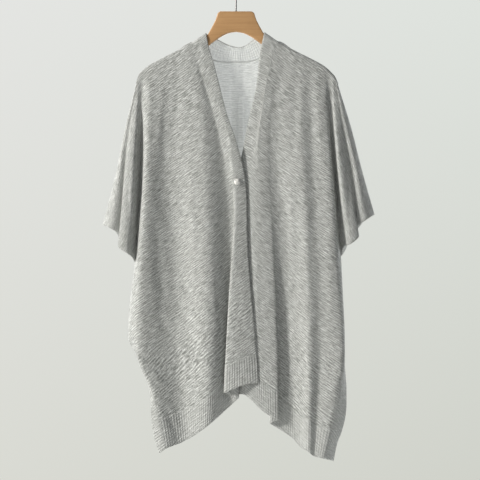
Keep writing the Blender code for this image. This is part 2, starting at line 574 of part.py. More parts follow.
def knit_back():
    """The back with its bands, and the strips that its bands are ribbed along."""
    left = edge_strand(down_to_slit(LEFT_SIDE, BACK_LEFT_SLIT), 1, BACK_LEFT_DROPS)
    right = edge_strand(down_to_slit(RIGHT_SIDE, BACK_RIGHT_SLIT), 1, BACK_RIGHT_DROPS)
    names = [fold.name for fold in BACK_FOLDS]
    corners = names.index("left neck corner"), names.index("right neck corner")
    strands = [left]
    for k, fold in enumerate(BACK_FOLDS):
        if corners[0] < k < corners[1]:
            top = neck_places(NECK_SEAM, [fold.x_top])[0]
            strands.append(fold_strand(fold, 1, WOOD_TOP - top.z, top.y))
        else:
            strands.append(fold_strand(fold, 1))
    strands.append(right)
    cells = [2] + [fold.cells for fold in BACK_FOLDS[:-1]] + [2]
    left_sleeve = [sleeve_strand(s, 1) for s in BACK_LEFT_SLEEVE + (LEFT_FOLD_LINE,)][::-1]
    right_sleeve = [sleeve_strand(s, 1) for s in BACK_RIGHT_SLEEVE + (RIGHT_FOLD_LINE,)]
    sleeve_cells = [1] + [s.cells for s in BACK_RIGHT_SLEEVE]
    wide = sum(sleeve_cells)
    body = sum(cells)
    rows = []
    for r in range(ROWS):
        stops = [strand[r] for strand in strands]
        counts = list(cells)
        if r <= UNDERARM_ROW:
            stops = [s[r] for s in left_sleeve] + stops + [s[r] for s in right_sleeve]
            counts = sleeve_cells[::-1] + counts + sleeve_cells
        closed = r < SLIT_ROW
        row = woven_row(stops, counts, closed, closed)
        if r > UNDERARM_ROW:
            row = [None] * wide + row + [None] * wide
        rows.append(row)

    neck_start = wide + sum(cells[:corners[0] + 1])
    neck_end = wide + sum(cells[:corners[1] + 1])
    top = len(LAP) - 1
    for r in range(top):
        rows[r][neck_start + 1:neck_end] = [None] * (neck_end - neck_start - 1)
    knit = Knit(1)
    ids = [[None if place is None else knit.add(place) for place in row] for row in rows]
    left_end, right_end = wide, wide + body
    for r, row in enumerate(ids):
        if r == 0:
            knit.on_seam.update(i for i in row if i is not None)
        elif r <= UNDERARM_ROW:
            knit.on_seam.update((row[0], row[-1]))
        elif r <= SLIT_ROW:
            knit.on_seam.update((row[left_end], row[right_end]))

    left_slit_seam = left_end + cells[0]
    right_slit_seam = right_end - cells[-1]

    def owner(r, c):
        if r >= SLIT_ROW and c < left_slit_seam:
            return "slit_back_left"
        if r >= SLIT_ROW and c >= right_slit_seam:
            return "slit_back_right"
        if r >= HEM_SEAM_ROW:
            return "hem_back"
        return "back"

    for r in range(ROWS - 1):
        for c in range(len(ids[r]) - 1):
            corners_here = (ids[r][c], ids[r + 1][c], ids[r + 1][c + 1], ids[r][c + 1])
            if None not in corners_here:
                knit.cell(corners_here[::-1], owner(r, c))

    seam = [ids[r][neck_start] for r in range(top)] + ids[top][neck_start:neck_end + 1]
    seam += [ids[r][neck_end] for r in reversed(range(top))]
    edge_xs = neck_edge_stops(len(seam), top)
    free = neck_places(NECK_EDGE, edge_xs)
    for r in range(top + 1):
        fall = NECK_LEAN.drop * r
        free[r] = over_arm(NECK_EDGE[0].x + NECK_LEAN.x * r, NECK_EDGE[0].drop + fall, 1, r)
        free[-1 - r] = over_arm(NECK_EDGE[-1].x - NECK_LEAN.x * r, NECK_EDGE[-1].drop + fall, 1, r)
    free_ids = [knit.add(place) for place in free]
    knit.on_seam.update((free_ids[0], free_ids[-1]))
    for k in range(len(seam) - 1):
        knit.cell((seam[k], free_ids[k], free_ids[k + 1], seam[k + 1]), "band_neck")
    knit.find_normals()
    strips = {
        "band_neck": [rung(pair, True) for pair in zip(seam, free_ids)],
        "slit_back_left": [rung(row[left_end:left_slit_seam + 1], True)
                           for row in ids[SLIT_ROW:]],
        "slit_back_right": [rung(row[right_slit_seam:right_end + 1], True)
                            for row in ids[SLIT_ROW:]],
        "hem_back": [rung([ids[r][c] for r in range(HEM_SEAM_ROW, ROWS)], False)
                     for c in range(left_slit_seam, right_slit_seam + 1)]}
    return knit, strips


def neck_edge_stops(count, top):
    """Distances from the centre line for the neck edge's points, evenly between the arms."""
    lean = NECK_LEAN.x * (top + 1)
    start, end = NECK_EDGE[0].x + lean, NECK_EDGE[-1].x - lean
    inner = count - 2 * top
    evenly = [start + (end - start) * k / (inner - 1) for k in range(inner)]
    return [start] * top + evenly + [end] * top


# --- Blender objects -------------------------------------------------------------------------
def clear_scene():
    for item in list(bpy.data.objects):
        bpy.data.objects.remove(item, do_unlink=True)


def material(name, colour, roughness, metallic=0.0):
    """A plain surface with a Principled BSDF."""
    new = bpy.data.materials.new(name)
    new.use_nodes = True
    shader = new.node_tree.nodes["Principled BSDF"]
    shader.inputs["Base Color"].default_value = (*colour, 1.0)
    shader.inputs["Roughness"].default_value = roughness
    shader.inputs["Metallic"].default_value = metallic
    return new


def add_object(name, places, faces, finish, smooth_angle=35.0):
    """An object whose mesh is built from points in millimetres."""
    mesh = bpy.data.meshes.new(name)
    mesh.from_pydata([place * MM for place in places], [], faces)
    mesh.materials.append(finish)
    mesh.shade_smooth()
    mesh.set_sharp_from_angle(angle=math.radians(smooth_angle))
    mesh.validate()
    item = bpy.data.objects.new(name, mesh)
    bpy.context.scene.collection.objects.link(item)
    return item


def arc(centre, radius, start, end, count):
    """Points of a round stretch, from one angle to another."""
    return [(centre[0] + radius * math.cos(start + (end - start) * k / count),
             centre[1] + radius * math.sin(start + (end - start) * k / count))
            for k in range(count + 1)]


# Half of the hanger's outline: distance from the centre line, and drop.
Wood = namedtuple("Wood", "out drop")
WOOD_BLOCK = (Wood(33, 0), Wood(38, 3.5), Wood(41, 12), Wood(44, 20), Wood(48.5, 29),
              Wood(53.5, 38), Wood(61, 50))
WOOD_ARCH = (Wood(58, 72.5), Wood(44, 62), Wood(29, 52.5), Wood(15, 46), Wood(0, 43.5))
WOOD_LOWER = (Wood(181, 138.5), Wood(140, 120), Wood(97, 97.5), Wood(72, 82))
TIP_OUT, TIP_DROP, TIP_RADIUS = 186.0, 131.0, 8.5
TIP_START, TIP_END, TIP_STEPS = math.radians(-66), math.radians(108), 7


def half_hanger():
    """Outline of the right half, from the top of the centre line round to its underside."""
    outline = [(p.out, p.drop) for p in WOOD_BLOCK]
    outline += [(p.out, p.drop + WOOD_BELOW_CLOTH) for p in SHOULDER[1:-2]]
    outline += arc((TIP_OUT, TIP_DROP), TIP_RADIUS, TIP_START, TIP_END, TIP_STEPS)
    outline += [(p.out, p.drop) for p in WOOD_LOWER + WOOD_ARCH]
    return outline


def add_hanger(finish):
    right = half_hanger()
    left = [(-x, drop) for x, drop in reversed(right[:-1])]
    outline = right + left
    shape = bmesh.new()
    front = [shape.verts.new((x * MM, -WOOD_THICK / 2 * MM, (WOOD_TOP - drop) * MM))
             for x, drop in outline]
    face = shape.faces.new(front)
    grown = bmesh.ops.extrude_face_region(shape, geom=[face])
    moved = [v for v in grown["geom"] if isinstance(v, bmesh.types.BMVert)]
    bmesh.ops.translate(shape, vec=(0.0, WOOD_THICK * MM, 0.0), verts=moved)
    bmesh.ops.recalc_face_normals(shape, faces=shape.faces)
    rim = [e for e in shape.edges if e.verts[0].co.y == e.verts[1].co.y]
    bmesh.ops.bevel(shape, geom=rim, offset=WOOD_ROUND * MM, segments=2, profile=0.5,
                    affect="EDGES")
    bmesh.ops.triangulate(shape, faces=shape.faces)
    mesh = bpy.data.meshes.new("hanger")
    shape.to_mesh(mesh)
    shape.free()
    mesh.materials.append(finish)
    mesh.shade_smooth()
    mesh.set_sharp_from_angle(angle=math.radians(40))
    item = bpy.data.objects.new("hanger", mesh)
    bpy.context.scene.collection.objects.link(item)


def hook_path():
    """Middle of the wire: up from the wood, aside, and round over the bearing point."""
    centre = WIRE_RADIUS - HOOK_RADIUS
    turn = (HOOK_RADIUS * math.cos(HOOK_TURN), centre + HOOK_RADIUS * math.sin(HOOK_TURN))
    heading = (-math.sin(HOOK_TURN), math.cos(HOOK_TURN))
    foot = WOOD_TOP + SEAM_GAP
    knee = foot + STEM
    handles = (0.0, knee + BEND_PULL), (turn[0] - heading[0] * BEND_PULL,
                                        turn[1] - heading[1] * BEND_PULL)
    path = [(0.0, foot), (0.0, (foot + knee) / 2)]
    for k in range(BEND_STEPS):
        t = k / BEND_STEPS
        a, b, c, d = (1 - t) ** 3, 3 * t * (1 - t) ** 2, 3 * t * t * (1 - t), t ** 3
        path.append((c * handles[1][0] + d * turn[0],
                     a * knee + b * handles[0][1] + c * handles[1][1] + d * turn[1]))
    return path + arc((0.0, centre), HOOK_RADIUS, HOOK_TURN, HOOK_END, HOOK_STEPS)


def add_hook(finish):
    curve = bpy.data.curves.new("hook", "CURVE")
    curve.dimensions = "3D"
    curve.bevel_depth = WIRE_RADIUS * MM
    curve.bevel_resolution = 2
    curve.use_fill_caps = True
    path = hook_path()
    spline = curve.splines.new("POLY")
    spline.points.add(len(path) - 1)
    for knot, (x, z) in zip(spline.points, path):
        knot.co = (x * MM, 0.0, z * MM, 1.0)
    curve.materials.append(finish)
    item = bpy.data.objects.new("hook", curve)
    bpy.context.scene.collection.objects.link(item)


def add_button(knit, ids, finish):
    """A pearl button on the left front, beside its free edge."""
    edge, inside = ids[BUTTON_ROW][0], ids[BUTTON_ROW][1]
    outward = (knit.normals[edge] + knit.normals[inside]).normalized()
    share = BUTTON_IN / through(STATIONS, LEFT_EDGING, BUTTON_COURSE)
    seat = knit.points[edge].lerp(knit.points[inside], share)
    seat += outward * (WALL / 2 + SEAM_GAP)
    across = outward.cross(Vector((0.0, 0.0, 1.0))).normalized()
    upward = across.cross(outward)
    places = [seat]
    for ring in BUTTON_RINGS:
        for k in range(BUTTON_SIDES):
            turn = math.tau * k / BUTTON_SIDES
            aside = across * math.cos(turn) + upward * math.sin(turn)
            places.append(seat + outward * (BUTTON_HEIGHT * ring.height)
                          + aside * (BUTTON_RADIUS * ring.out))
    places.append(seat + outward * BUTTON_HEIGHT)
    top = len(places) - 1
    last = top - BUTTON_SIDES
    faces = []
    for k in range(BUTTON_SIDES):
        after = (k + 1) % BUTTON_SIDES
        faces.append((0, 1 + k, 1 + after))
        for low in range(1, last, BUTTON_SIDES):
            high = low + BUTTON_SIDES
            faces.append((low + k, high + k, high + after, low + after))
        faces.append((last + k, top, last + after))
    add_object("button", places, faces, finish, 60.0)


def add_knit(knit, strips, plain, finish):
    """The plain pieces and the ribbed bands of one side of the garment."""
    for name in plain:
        places, faces = knit.wall(name)
        add_object(name, places, faces, finish)
    for name, strip in strips.items():
        places, faces = knit.ribbed_wall(name, strip)
        add_object(name, places, faces, finish, 20.0)


def main():
    clear_scene()
    wool = material("heather_knit", (0.45, 0.46, 0.44), 0.95)
    wood = material("beech", (0.56, 0.36, 0.17), 0.45)
    wire = material("hook_wire", (0.30, 0.29, 0.28), 0.35, 1.0)
    pearl = material("pearl", (0.86, 0.84, 0.80), 0.2)
    left_tables = (LEFT_EDGE, LEFT_EDGING, LEFT_EDGING_OFF, LEFT_FOLDS, LEFT_SIDE,
                   LEFT_SIDE_DROPS, LEFT_SLEEVE, LEFT_FOLD_LINE)
    right_tables = (RIGHT_EDGE, RIGHT_EDGING, RIGHT_EDGING_OFF, RIGHT_FOLDS, RIGHT_SIDE,
                    RIGHT_SIDE_DROPS, RIGHT_SLEEVE, RIGHT_FOLD_LINE)
    left_knit, left_strips, left_ids = knit_front("front_left", left_tables, -1)
    add_knit(left_knit, left_strips, ["front_left"], wool)
    right_knit, right_strips, _ = knit_front("front_right", right_tables, 1)
    add_knit(right_knit, right_strips, ["front_right"], wool)
    back_knit, back_strips = knit_back()
    add_knit(back_knit, back_strips, ["back"], wool)
    add_button(left_knit, left_ids, pearl)
    add_hanger(wood)
    add_hook(wire)


main()
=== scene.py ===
"""Looks of a knit poncho cardigan that hangs on a flat wooden hanger.

Tables and sizes are in millimetres, as in the part's own source: x to the viewer's right, y away
from the viewer, z up, and a drop is a distance below the hanger's top edge.  Left and right are
the viewer's.  A level is a place down the cloth: -1 on the shoulder seam, 0 where the cloth
leaves the hanger's arm, 1 at the hem.  A station is a place across it: 0 on the first strand, 1
on the second, and so on.
"""

import math
from collections import namedtuple

import bmesh
import bpy
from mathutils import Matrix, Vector


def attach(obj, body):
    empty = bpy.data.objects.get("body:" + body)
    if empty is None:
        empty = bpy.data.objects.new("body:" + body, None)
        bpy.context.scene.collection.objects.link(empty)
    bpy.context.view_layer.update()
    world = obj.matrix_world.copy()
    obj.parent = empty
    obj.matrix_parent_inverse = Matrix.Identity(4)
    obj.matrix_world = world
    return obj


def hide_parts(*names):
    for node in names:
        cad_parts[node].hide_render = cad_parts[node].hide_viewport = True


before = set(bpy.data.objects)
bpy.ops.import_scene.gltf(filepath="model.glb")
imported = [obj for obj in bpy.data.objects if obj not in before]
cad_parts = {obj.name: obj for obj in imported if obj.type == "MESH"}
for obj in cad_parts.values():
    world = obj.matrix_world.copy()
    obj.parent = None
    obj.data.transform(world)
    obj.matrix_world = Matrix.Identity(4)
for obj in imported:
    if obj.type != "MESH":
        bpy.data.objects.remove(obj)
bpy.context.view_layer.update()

MM = 0.001
TINY = 1e-9                # keeps a share of nothing from being a division by zero

# --- Cloth ---------------------------------------------------------------------------------
WALL = 1.7                 # thickness of the knit
EDGE_ROUND = 0.8           # how far a wall's rounded rim stands past its edge
SEAM_ROUND = 0.15          # the same where a front meets the back
ON_MIDDLE = 0.001          # a point this near the middle plane is on such a seam
COLUMN = 3.0               # widest cell across the cloth
ROW = 5.0                  # height of a cell
CUT_LENGTH = 800.0         # of the knit from the shoulder seam to the hem
FEWEST_CELLS = 4           # between two strands
BODY_LOOKS, SLEEVE_LOOKS = (0.3, 0.6, 0.9), (0.2, 0.35, 0.48)   # levels at which gaps are read
LAP_ROWS = 6               # over the hanger's arm
LAP_LENGTH = 10.6          # of the cloth over the hanger's arm, on each side
LEFT_EDGING = (10.0, 8.0, 16.0, 20.0, 20.0, 20.0)     # width of a front's flat free edge
RIGHT_EDGING = (20.0, 20.0, 20.0, 20.0, 20.0, 20.0)
SLEEVE_RUN = 0.77          # length of the sleeve's top fold over that of the side seam
COURSE_LEAN = math.radians(33.0)     # of the fronts' courses, down to the outer side
LEVEL_STEP = 0.02          # between the places from which an edge's heading is read
SEAM_FADE = 0.06           # share of the way over which the body stops heading for the sleeve
SAMPLES = 12               # from one strand to the next, where a course is measured

# --- Ribbed bands --------------------------------------------------------------------------
RIB_PITCH = 5.6
RIB_RISE = 0.75
RIB_CELLS = 6              # cells across one rib
RIB_CELL = RIB_PITCH / RIB_CELLS
HEM_ROWS = 13
BAND_CELLS = 9             # across a slit band or the neck band
NECK_LAP_CELLS = 9         # of the neck band over the hanger's arm
NECK_STEPS = 120           # along the back neckline, where it is measured
SLIT_STEPS = 40            # the same along a slit
HEM_MIDDLE = 0.96          # the level at which the hem's ribs are counted
STITCH_CELLS = 3           # cells between the points of a line of stitches
BAND_HEIGHT = 0.03         # of the neck band, in metres

# --- Hanger and hook -----------------------------------------------------------------------
WOOD_TOP = -75.0
WOOD_THICK = 11.8
WOOD_ROUND = 2.6
WOOD_SOFT = math.radians(40)         # edges less bent than this are shaded smooth
WOOD_BELOW_CLOTH = 2.3
HOOK_SUNK = 1.0            # of the wire's foot in the wood
WIRE_RADIUS = 1.8
HOOK_RADIUS = 20.0
HOOK_TURN, HOOK_END, HOOK_STEPS = math.radians(-50.0), math.radians(196.0), 60
STEM, BEND_PULL, BEND_STEPS = 28.0, 16.0, 16
Wood = namedtuple("Wood", "out drop")
WOOD_BLOCK = (Wood(33, 0), Wood(38, 3.5), Wood(41, 12), Wood(44, 20), Wood(48.5, 29),
              Wood(53.5, 38), Wood(61, 50))
WOOD_ARCH = (Wood(58, 72.5), Wood(44, 62), Wood(29, 52.5), Wood(15, 46), Wood(0, 43.5))
WOOD_LOWER = (Wood(181, 138.5), Wood(140, 120), Wood(97, 97.5), Wood(72, 82))
TIP_OUT, TIP_DROP, TIP_RADIUS = 186.0, 131.0, 8.5
TIP_START, TIP_END, TIP_STEPS = math.radians(-66), math.radians(108), 16

# --- Button --------------------------------------------------------------------------------
BUTTON_RADIUS = 7.0
BUTTON_HEIGHT = 5.2
BUTTON_LEVEL = 0.42
BUTTON_IN = 17.0
BUTTON_GAP = 0.1           # between the button and the cloth
BUTTON_SIDES = 48
Ring = namedtuple("Ring", "out height")
BUTTON_RINGS = (Ring(0.80, 0.0), Ring(0.92, 0.04), Ring(0.98, 0.13), Ring(1.0, 0.26),
                Ring(0.985, 0.38), Ring(0.93, 0.52), Ring(0.84, 0.66), Ring(0.70, 0.79),
                Ring(0.52, 0.89), Ring(0.30, 0.965), Ring(0.14, 0.992))

# Each piece as it was cut, in metres and square metres, without its bands.
Cut = namedtuple("Cut", "width length area")

# How the cloth passes over the hanger's arm, from its seam down: share of the way, distance
# from the middle plane, and drop.
Lap = namedtuple("Lap", "share out drop")
LAP = (Lap(0.0, 0.0, 0.0), Lap(0.3, 3.2, 0.12), Lap(0.6, 5.9, 0.8), Lap(0.8, 7.2, 2.3),
       Lap(1.0, 7.9, 5.0))

# Close below the hanger's tip the sleeve's folds are only this share of their depth.
GATHER_WAY, GATHER_DEPTH = 0.14, 0.2
SETTLED = 0.03             # level below which a free edge hangs clear of the arm

Shoulder = namedtuple("Shoulder", "out drop")
SHOULDER = (Shoulder(60, 44.5), Shoulder(77, 56.5), Shoulder(97, 69), Shoulder(121, 82),
            Shoulder(146, 94.5), Shoulder(171, 107), Shoulder(191, 120), Shoulder(204, 133))

YOKE, CHEST, UNDERARM, SLIT, THIGH, HEM_SEAM = 0.12, 0.30, 0.48, 0.735, 0.87, 0.92
STATIONS = (0.0, CHEST, UNDERARM, SLIT, THIGH, 1.0)
FOLD_STATIONS = (0.0, YOKE) + STATIONS[1:]

Fold = namedtuple("Fold", "name x_top x_yoke x_chest x_underarm x_slit x_thigh x_hem "
                          "off_chest off_underarm off_slit off_thigh off_hem hem_drop")
Edge = namedtuple("Edge", "x drop off")
Sleeve = namedtuple("Sleeve", "name x_top top_drop x_third x_two_thirds x_cuff cuff_drop "
                              "off_third off_two_thirds off_cuff")

LEFT_EDGE = (Edge(-63, 46.5, 0), Edge(-58, 75, 8), Edge(-48, 108, 10.5), Edge(-33, 166, 14),
             Edge(-17, 226, 17.5), Edge(-4, 261, 19.5), Edge(3, 285, 20.5), Edge(10.5, 312, 21.5),
             Edge(18, 348, 22.5), Edge(21.5, 390, 24), Edge(23.5, 484, 26.5),
             Edge(28, 560, 28), Edge(35, 630, 29), Edge(42, 717, 29), Edge(45, 778, 29))
LEFT_EDGING_OFF = (8.0, 20.5, 27.0, 32.0, 33.0, 33.0)
LEFT_FOLDS = (
    Fold("pleat edge", -80, -56, -12, -2.5, -13, -18.5, -23, 20.5, 26.5, 31.5, 32.5, 32.5, 798),
    Fold("pleat back", -82.5, -57.5, -15.5, -4.5, -14.5, -20, -24.5,
         19.3, 23.6, 27.5, 28.5, 28.5, 798),
    Fold("pleat return", -85, -59, -19, 2, 1, 2, 4, 17.8, 21.3, 24.3, 25.3, 25.3, 809),
    Fold("return back", -88, -61, -23, 3.5, 3, 4, 5.5, 16.6, 19.6, 19.8, 20.5, 20.5, 809),
    Fold("pleat hollow", -92, -63.5, -29, -12.5, -11, -11.5, -12,
         14.8, 13.5, 12.5, 12.5, 12.5, 826),
    Fold("front ridge", -110, -74, -65, -61, -58, -57, -60, 26, 32, 34.5, 35, 34, 867),
    Fold("front hollow", -151, -148, -143, -130, -119, -116, -108, 15, 12.5, 12.5, 13, 14.5, 900),
    Fold("side ridge", -183, -185, -189, -198, -206, -168, -147, 28, 31, 30, 29, 28, 915))
LEFT_SIDE = (Edge(-197, 126, 8), Edge(-197.5, 186, 7), Edge(-198, 270, 5), Edge(-200, 354, 3),
             Edge(-205, 438, 2), Edge(-211, 520, 1.2), Edge(-217, 572, 0), Edge(-223, 623, 0),
             Edge(-226, 680, 0), Edge(-210, 719, 0), Edge(-195, 749, 8), Edge(-185, 774, 14),
             Edge(-178.5, 805, 19), Edge(-177, 840, 21), Edge(-173, 880, 22), Edge(-160, 925, 22))
LEFT_SIDE_DROPS = (126, 368, 526, 719, 823, 925)
LEFT_SLEEVE = (
    Sleeve("valley wall", -202, 131, -204.5, -208.5, -217, 516, 12, 14, 11),
    Sleeve("inner lobe", -203.5, 133.5, -211, -217, -227, 507, 21, 30, 29),
    Sleeve("inner edge", -205, 136.5, -219, -233, -245, 493.5, 19, 26, 26),
    Sleeve("outer hollow", -205.7, 139.5, -224, -235, -241, 470, 13, 15, 14),
    Sleeve("outer lobe", -207.7, 144.8, -231, -247, -262, 455, 12, 17, 19))
LEFT_FOLD_LINE = Sleeve("sleeve top", -209.5, 151, -234, -254, -279, 447.5, 0, 0, 0)

RIGHT_EDGE = (Edge(60, 44.5, 0), Edge(52, 83, 8), Edge(48.5, 108, 8.5), Edge(44.5, 150, 9.5),
              Edge(36.5, 190, 11), Edge(24.5, 240, 12), Edge(17, 281, 12.5),
              Edge(11, 310, 13), Edge(2, 333, 13.8), Edge(0, 364, 13),
              Edge(-1, 406, 12.3), Edge(-1, 480, 11.5), Edge(-1, 606, 10),
              Edge(-0.5, 711, 10), Edge(0, 803, 11))
RIGHT_EDGING_OFF = (8.0, 16.0, 17.8, 19.5, 20.0, 19.5)
RIGHT_FOLDS = (
    Fold("lap crest", 91, 62, 47.5, 47, 55, 58, 60, 20.5, 24.5, 26, 27, 27, 839),
    Fold("fold edge", 98, 74, 65, 73, 83, 86, 87, 19, 22, 25, 26, 26, 854),
    Fold("fold back", 101, 77, 68.5, 76.5, 84.5, 87.5, 88, 18, 20.5, 22, 22.5, 22.5, 854),
    Fold("fold return", 104, 80, 72, 81, 77.5, 73, 72, 17, 18.6, 19, 19.3, 19.3, 863),
    Fold("return back", 107, 83, 76, 86, 79, 72.5, 71, 16.3, 17, 14.8, 14.8, 14.8, 863),
    Fold("fold hollow", 111, 90, 87.5, 105, 113, 115, 116, 16, 15.5, 12, 11, 11, 892),
    Fold("ridge flank", 118, 103, 107, 127, 132, 135, 135, 20.5, 22, 21, 21, 20.5, 911),
    Fold("front ridge", 134, 135, 140, 149, 152, 152, 151, 27.5, 32, 36, 37, 36, 920),
    Fold("front hollow", 154, 155, 161, 171, 174, 168, 162, 23.5, 28, 31, 32, 31, 929),
    Fold("side ridge", 183, 190, 201, 210, 223, 206, 182, 25.5, 28, 34, 36, 36, 934))
RIGHT_SIDE = (Edge(194.5, 123.5, 8), Edge(194.5, 182, 7), Edge(197, 236, 6), Edge(201, 291, 5),
              Edge(205, 343, 3.5), Edge(210, 396, 2.5), Edge(215, 448, 2), Edge(219.5, 513, 1.2),
              Edge(222.5, 572, 0), Edge(226, 673, 0), Edge(226, 719, 0), Edge(229, 762, 3),
              Edge(231, 790, 5), Edge(231, 824, 6), Edge(229, 848, 6), Edge(222, 878, 7),
              Edge(211, 908, 8), Edge(204, 942, 8))
RIGHT_SIDE_DROPS = (123.5, 359, 513, 719, 834, 942)
RIGHT_SLEEVE = (
    Sleeve("valley wall", 199.5, 128.5, 204.5, 214, 225.5, 494, 11, 10, 7),
    Sleeve("inner lobe", 202.5, 131.5, 209.5, 221, 240, 487, 20, 28, 27),
    Sleeve("inner edge", 205.5, 135, 219, 237, 256, 472, 17, 22, 24),
    Sleeve("outer hollow", 208, 139, 225.5, 243, 251, 455, 13, 14, 13),
    Sleeve("outer lobe", 210.5, 144, 232, 253, 272, 437, 14, 19, 20))
RIGHT_FOLD_LINE = Sleeve("sleeve top", 214, 151, 241.5, 264.5, 290, 426, 0, 0, 0)

BACK_FOLDS = (
    Fold("left side ridge", -183, -185, -188, -190, -180, -156, -128, 25.5, 30, 33, 33, 32, 900),
    Fold("left hollow", -153, -156.5, -159, -155, -150, -134, -109, 15.5, 17, 17, 17, 17, 881),
    Fold("left ridge", -122, -124, -125, -122, -115, -104, -86, 24.5, 30, 33, 34, 33, 860),
    Fold("left neck corner", -91, -90.5, -89.5, -86, -82, -73, -63, 15.5, 18, 17, 17, 17, 839),
    Fold("left inner ridge", -66, -64, -61, -57, -52, -48, -42, 23.5, 28, 30, 31, 30, 820),
    Fold("left inner hollow", -34, -34, -33.5, -31, -29, -27, -23, 18.2, 19, 18, 18, 18, 803),
    Fold("left crease", -12, -11.75, -11, -10, -9, -8, -6, 24.8, 24, 25, 25, 26, 795),
    Fold("centre", 2, 2, 2.5, 4, 6, 6, 8, 17.7, 20, 24, 27, 28, 791),
    Fold("right crease", 16, 16, 17, 21, 25, 27, 29, 25, 25, 26, 26, 25, 793),
    Fold("right inner hollow", 36, 36, 38, 44, 50, 52, 55, 18, 18, 16, 16, 17, 801),
    Fold("right inner ridge", 64, 63.5, 65, 71, 80, 82, 84, 24.5, 29, 32, 33, 33, 816),
    Fold("right neck corner", 88, 91, 96, 103, 109, 111, 113, 15.5, 17, 18, 18, 18, 833),
    Fold("right ridge", 120, 122, 126, 132, 139, 141, 141, 25, 31, 34, 34, 33, 854),
    Fold("right hollow", 149, 151, 155, 162, 168, 168, 166, 15.3, 16, 17, 18, 18, 877),
    Fold("right side ridge", 179, 182, 188, 197, 220, 202, 181, 26.5, 31, 33, 33, 32, 904))
BACK_LEFT_SLIT = (Edge(-210, 719, 0), Edge(-190, 752, 5), Edge(-176, 790, 7),
                  Edge(-170, 830, 7), Edge(-163, 875, 8), Edge(-150, 908, 9))
BACK_RIGHT_SLIT = (Edge(226, 719, 0), Edge(226, 760, 5), Edge(226, 800, 7),
                   Edge(222, 840, 7), Edge(212, 880, 8), Edge(199, 918, 9))
BACK_LEFT_DROPS = LEFT_SIDE_DROPS[:4] + (815, 908)
BACK_RIGHT_DROPS = RIGHT_SIDE_DROPS[:4] + (822, 918)
BACK_LEFT_SLEEVE = (
    Sleeve("valley wall", -202, 131, -205, -209, -217, 515, 11, 12, 8),
    Sleeve("inner lobe", -203.5, 133.5, -212.5, -219, -229, 500, 19, 26, 25),
    Sleeve("inner edge", -205, 136.5, -219, -230, -241, 484, 18, 24, 23),
    Sleeve("outer hollow", -205.7, 139.5, -224, -237, -250, 466, 12, 14, 13),
    Sleeve("outer lobe", -207.7, 144.8, -230, -247, -265, 451, 12, 17, 18))
BACK_RIGHT_SLEEVE = (
    Sleeve("valley wall", 199.5, 128.5, 205.5, 217, 229.5, 500, 9, 8, 6),
    Sleeve("inner lobe", 202.5, 131.5, 211.5, 225, 239, 480, 18, 25, 24),
    Sleeve("inner edge", 205.5, 135, 219, 235, 250, 464, 18, 23, 22),
    Sleeve("outer hollow", 208, 139, 226, 243, 261, 449, 12, 13, 13),
    Sleeve("outer lobe", 210.5, 144, 233, 253, 273, 433, 13, 18, 19))

NECK_LEAN = Edge(3.0, 1.6, 0)
NECK_EDGE = (Edge(-63, 46.5, 0), Edge(-48, 54, 8.5), Edge(-36, 60, 9.5), Edge(-18, 69, 11),
             Edge(6, 75, 11.5), Edge(22, 70, 11), Edge(34, 61, 9.5), Edge(46, 53, 8.5),
             Edge(60, 44.5, 0))
NECK_SEAM = (Edge(-91, 65.2, 0), Edge(-78, 84, 9), Edge(-62, 97, 11), Edge(-34, 104, 15),
             Edge(-12, 105, 18), Edge(4, 105, 16), Edge(20, 104.5, 18), Edge(38, 102, 15),
             Edge(58, 93, 11), Edge(74, 80, 9), Edge(88, 63.3, 0))


# --- Curves --------------------------------------------------------------------------------
SHORTEST_LEG = 0.01        # between the points that a bend runs through


def through(stations, values, at):
    """Value at a place, on a smooth curve through the stations that never overshoots them."""
    at = min(max(at, stations[0]), stations[-1])
    gaps = [b - a for a, b in zip(stations, stations[1:])]
    rises = [(b - a) / gap for a, b, gap in zip(values, values[1:], gaps)]
    k = 0
    while k < len(gaps) - 1 and at > stations[k + 1]:
        k += 1

    def slope(i):
        if i == 0 or i == len(gaps):
            return rises[min(i, len(rises) - 1)]
        before, after = rises[i - 1], rises[i]
        if before * after <= 0:
            return 0.0
        w1, w2 = 2 * gaps[i] + gaps[i - 1], gaps[i] + 2 * gaps[i - 1]
        return (w1 + w2) / (w1 / before + w2 / after)

    t = (at - stations[k]) / gaps[k]
    start, end = values[k], values[k + 1]
    leave, arrive = slope(k) * gaps[k], slope(k + 1) * gaps[k]
    return (start * (1 + 2 * t) * (1 - t) ** 2 + end * t * t * (3 - 2 * t)
            + leave * t * (1 - t) ** 2 - arrive * t * t * (1 - t))


def bend(before, start, end, after, share):
    """Point between start and end on a centripetal curve through all four points."""
    knots = [0.0]
    for a, b in ((before, start), (start, end), (end, after)):
        knots.append(knots[-1] + max((b - a).length, SHORTEST_LEG) ** 0.5)
    t = knots[1] + (knots[2] - knots[1]) * share

    def mix(a, b, first, last):
        return a + (b - a) * ((t - knots[first]) / (knots[last] - knots[first]))

    legs = mix(before, start, 0, 1), mix(start, end, 1, 2), mix(end, after, 2, 3)
    return mix(mix(legs[0], legs[1], 0, 2), mix(legs[1], legs[2], 1, 3), 1, 2)


def spread(start, end, count):
    """Evenly spaced numbers from start to end, count steps apart."""
    return [start + (end - start) * k / count for k in range(count + 1)]


def lengths_along(places):
    """Distance of each point from the first, along the line."""
    run = [0.0]
    for a, b in zip(places, places[1:]):
        run.append(run[-1] + (b - a).length)
    return run


def evened(places, count):
    """The same line, as count even steps."""
    run = lengths_along(places)
    new, k = [], 0
    for goal in spread(0.0, run[-1], count):
        while k < len(run) - 2 and run[k + 1] < goal:
            k += 1
        share = (goal - run[k]) / max(run[k + 1] - run[k], TINY)
        new.append(places[k].lerp(places[k + 1], min(share, 1.0)))
    return new


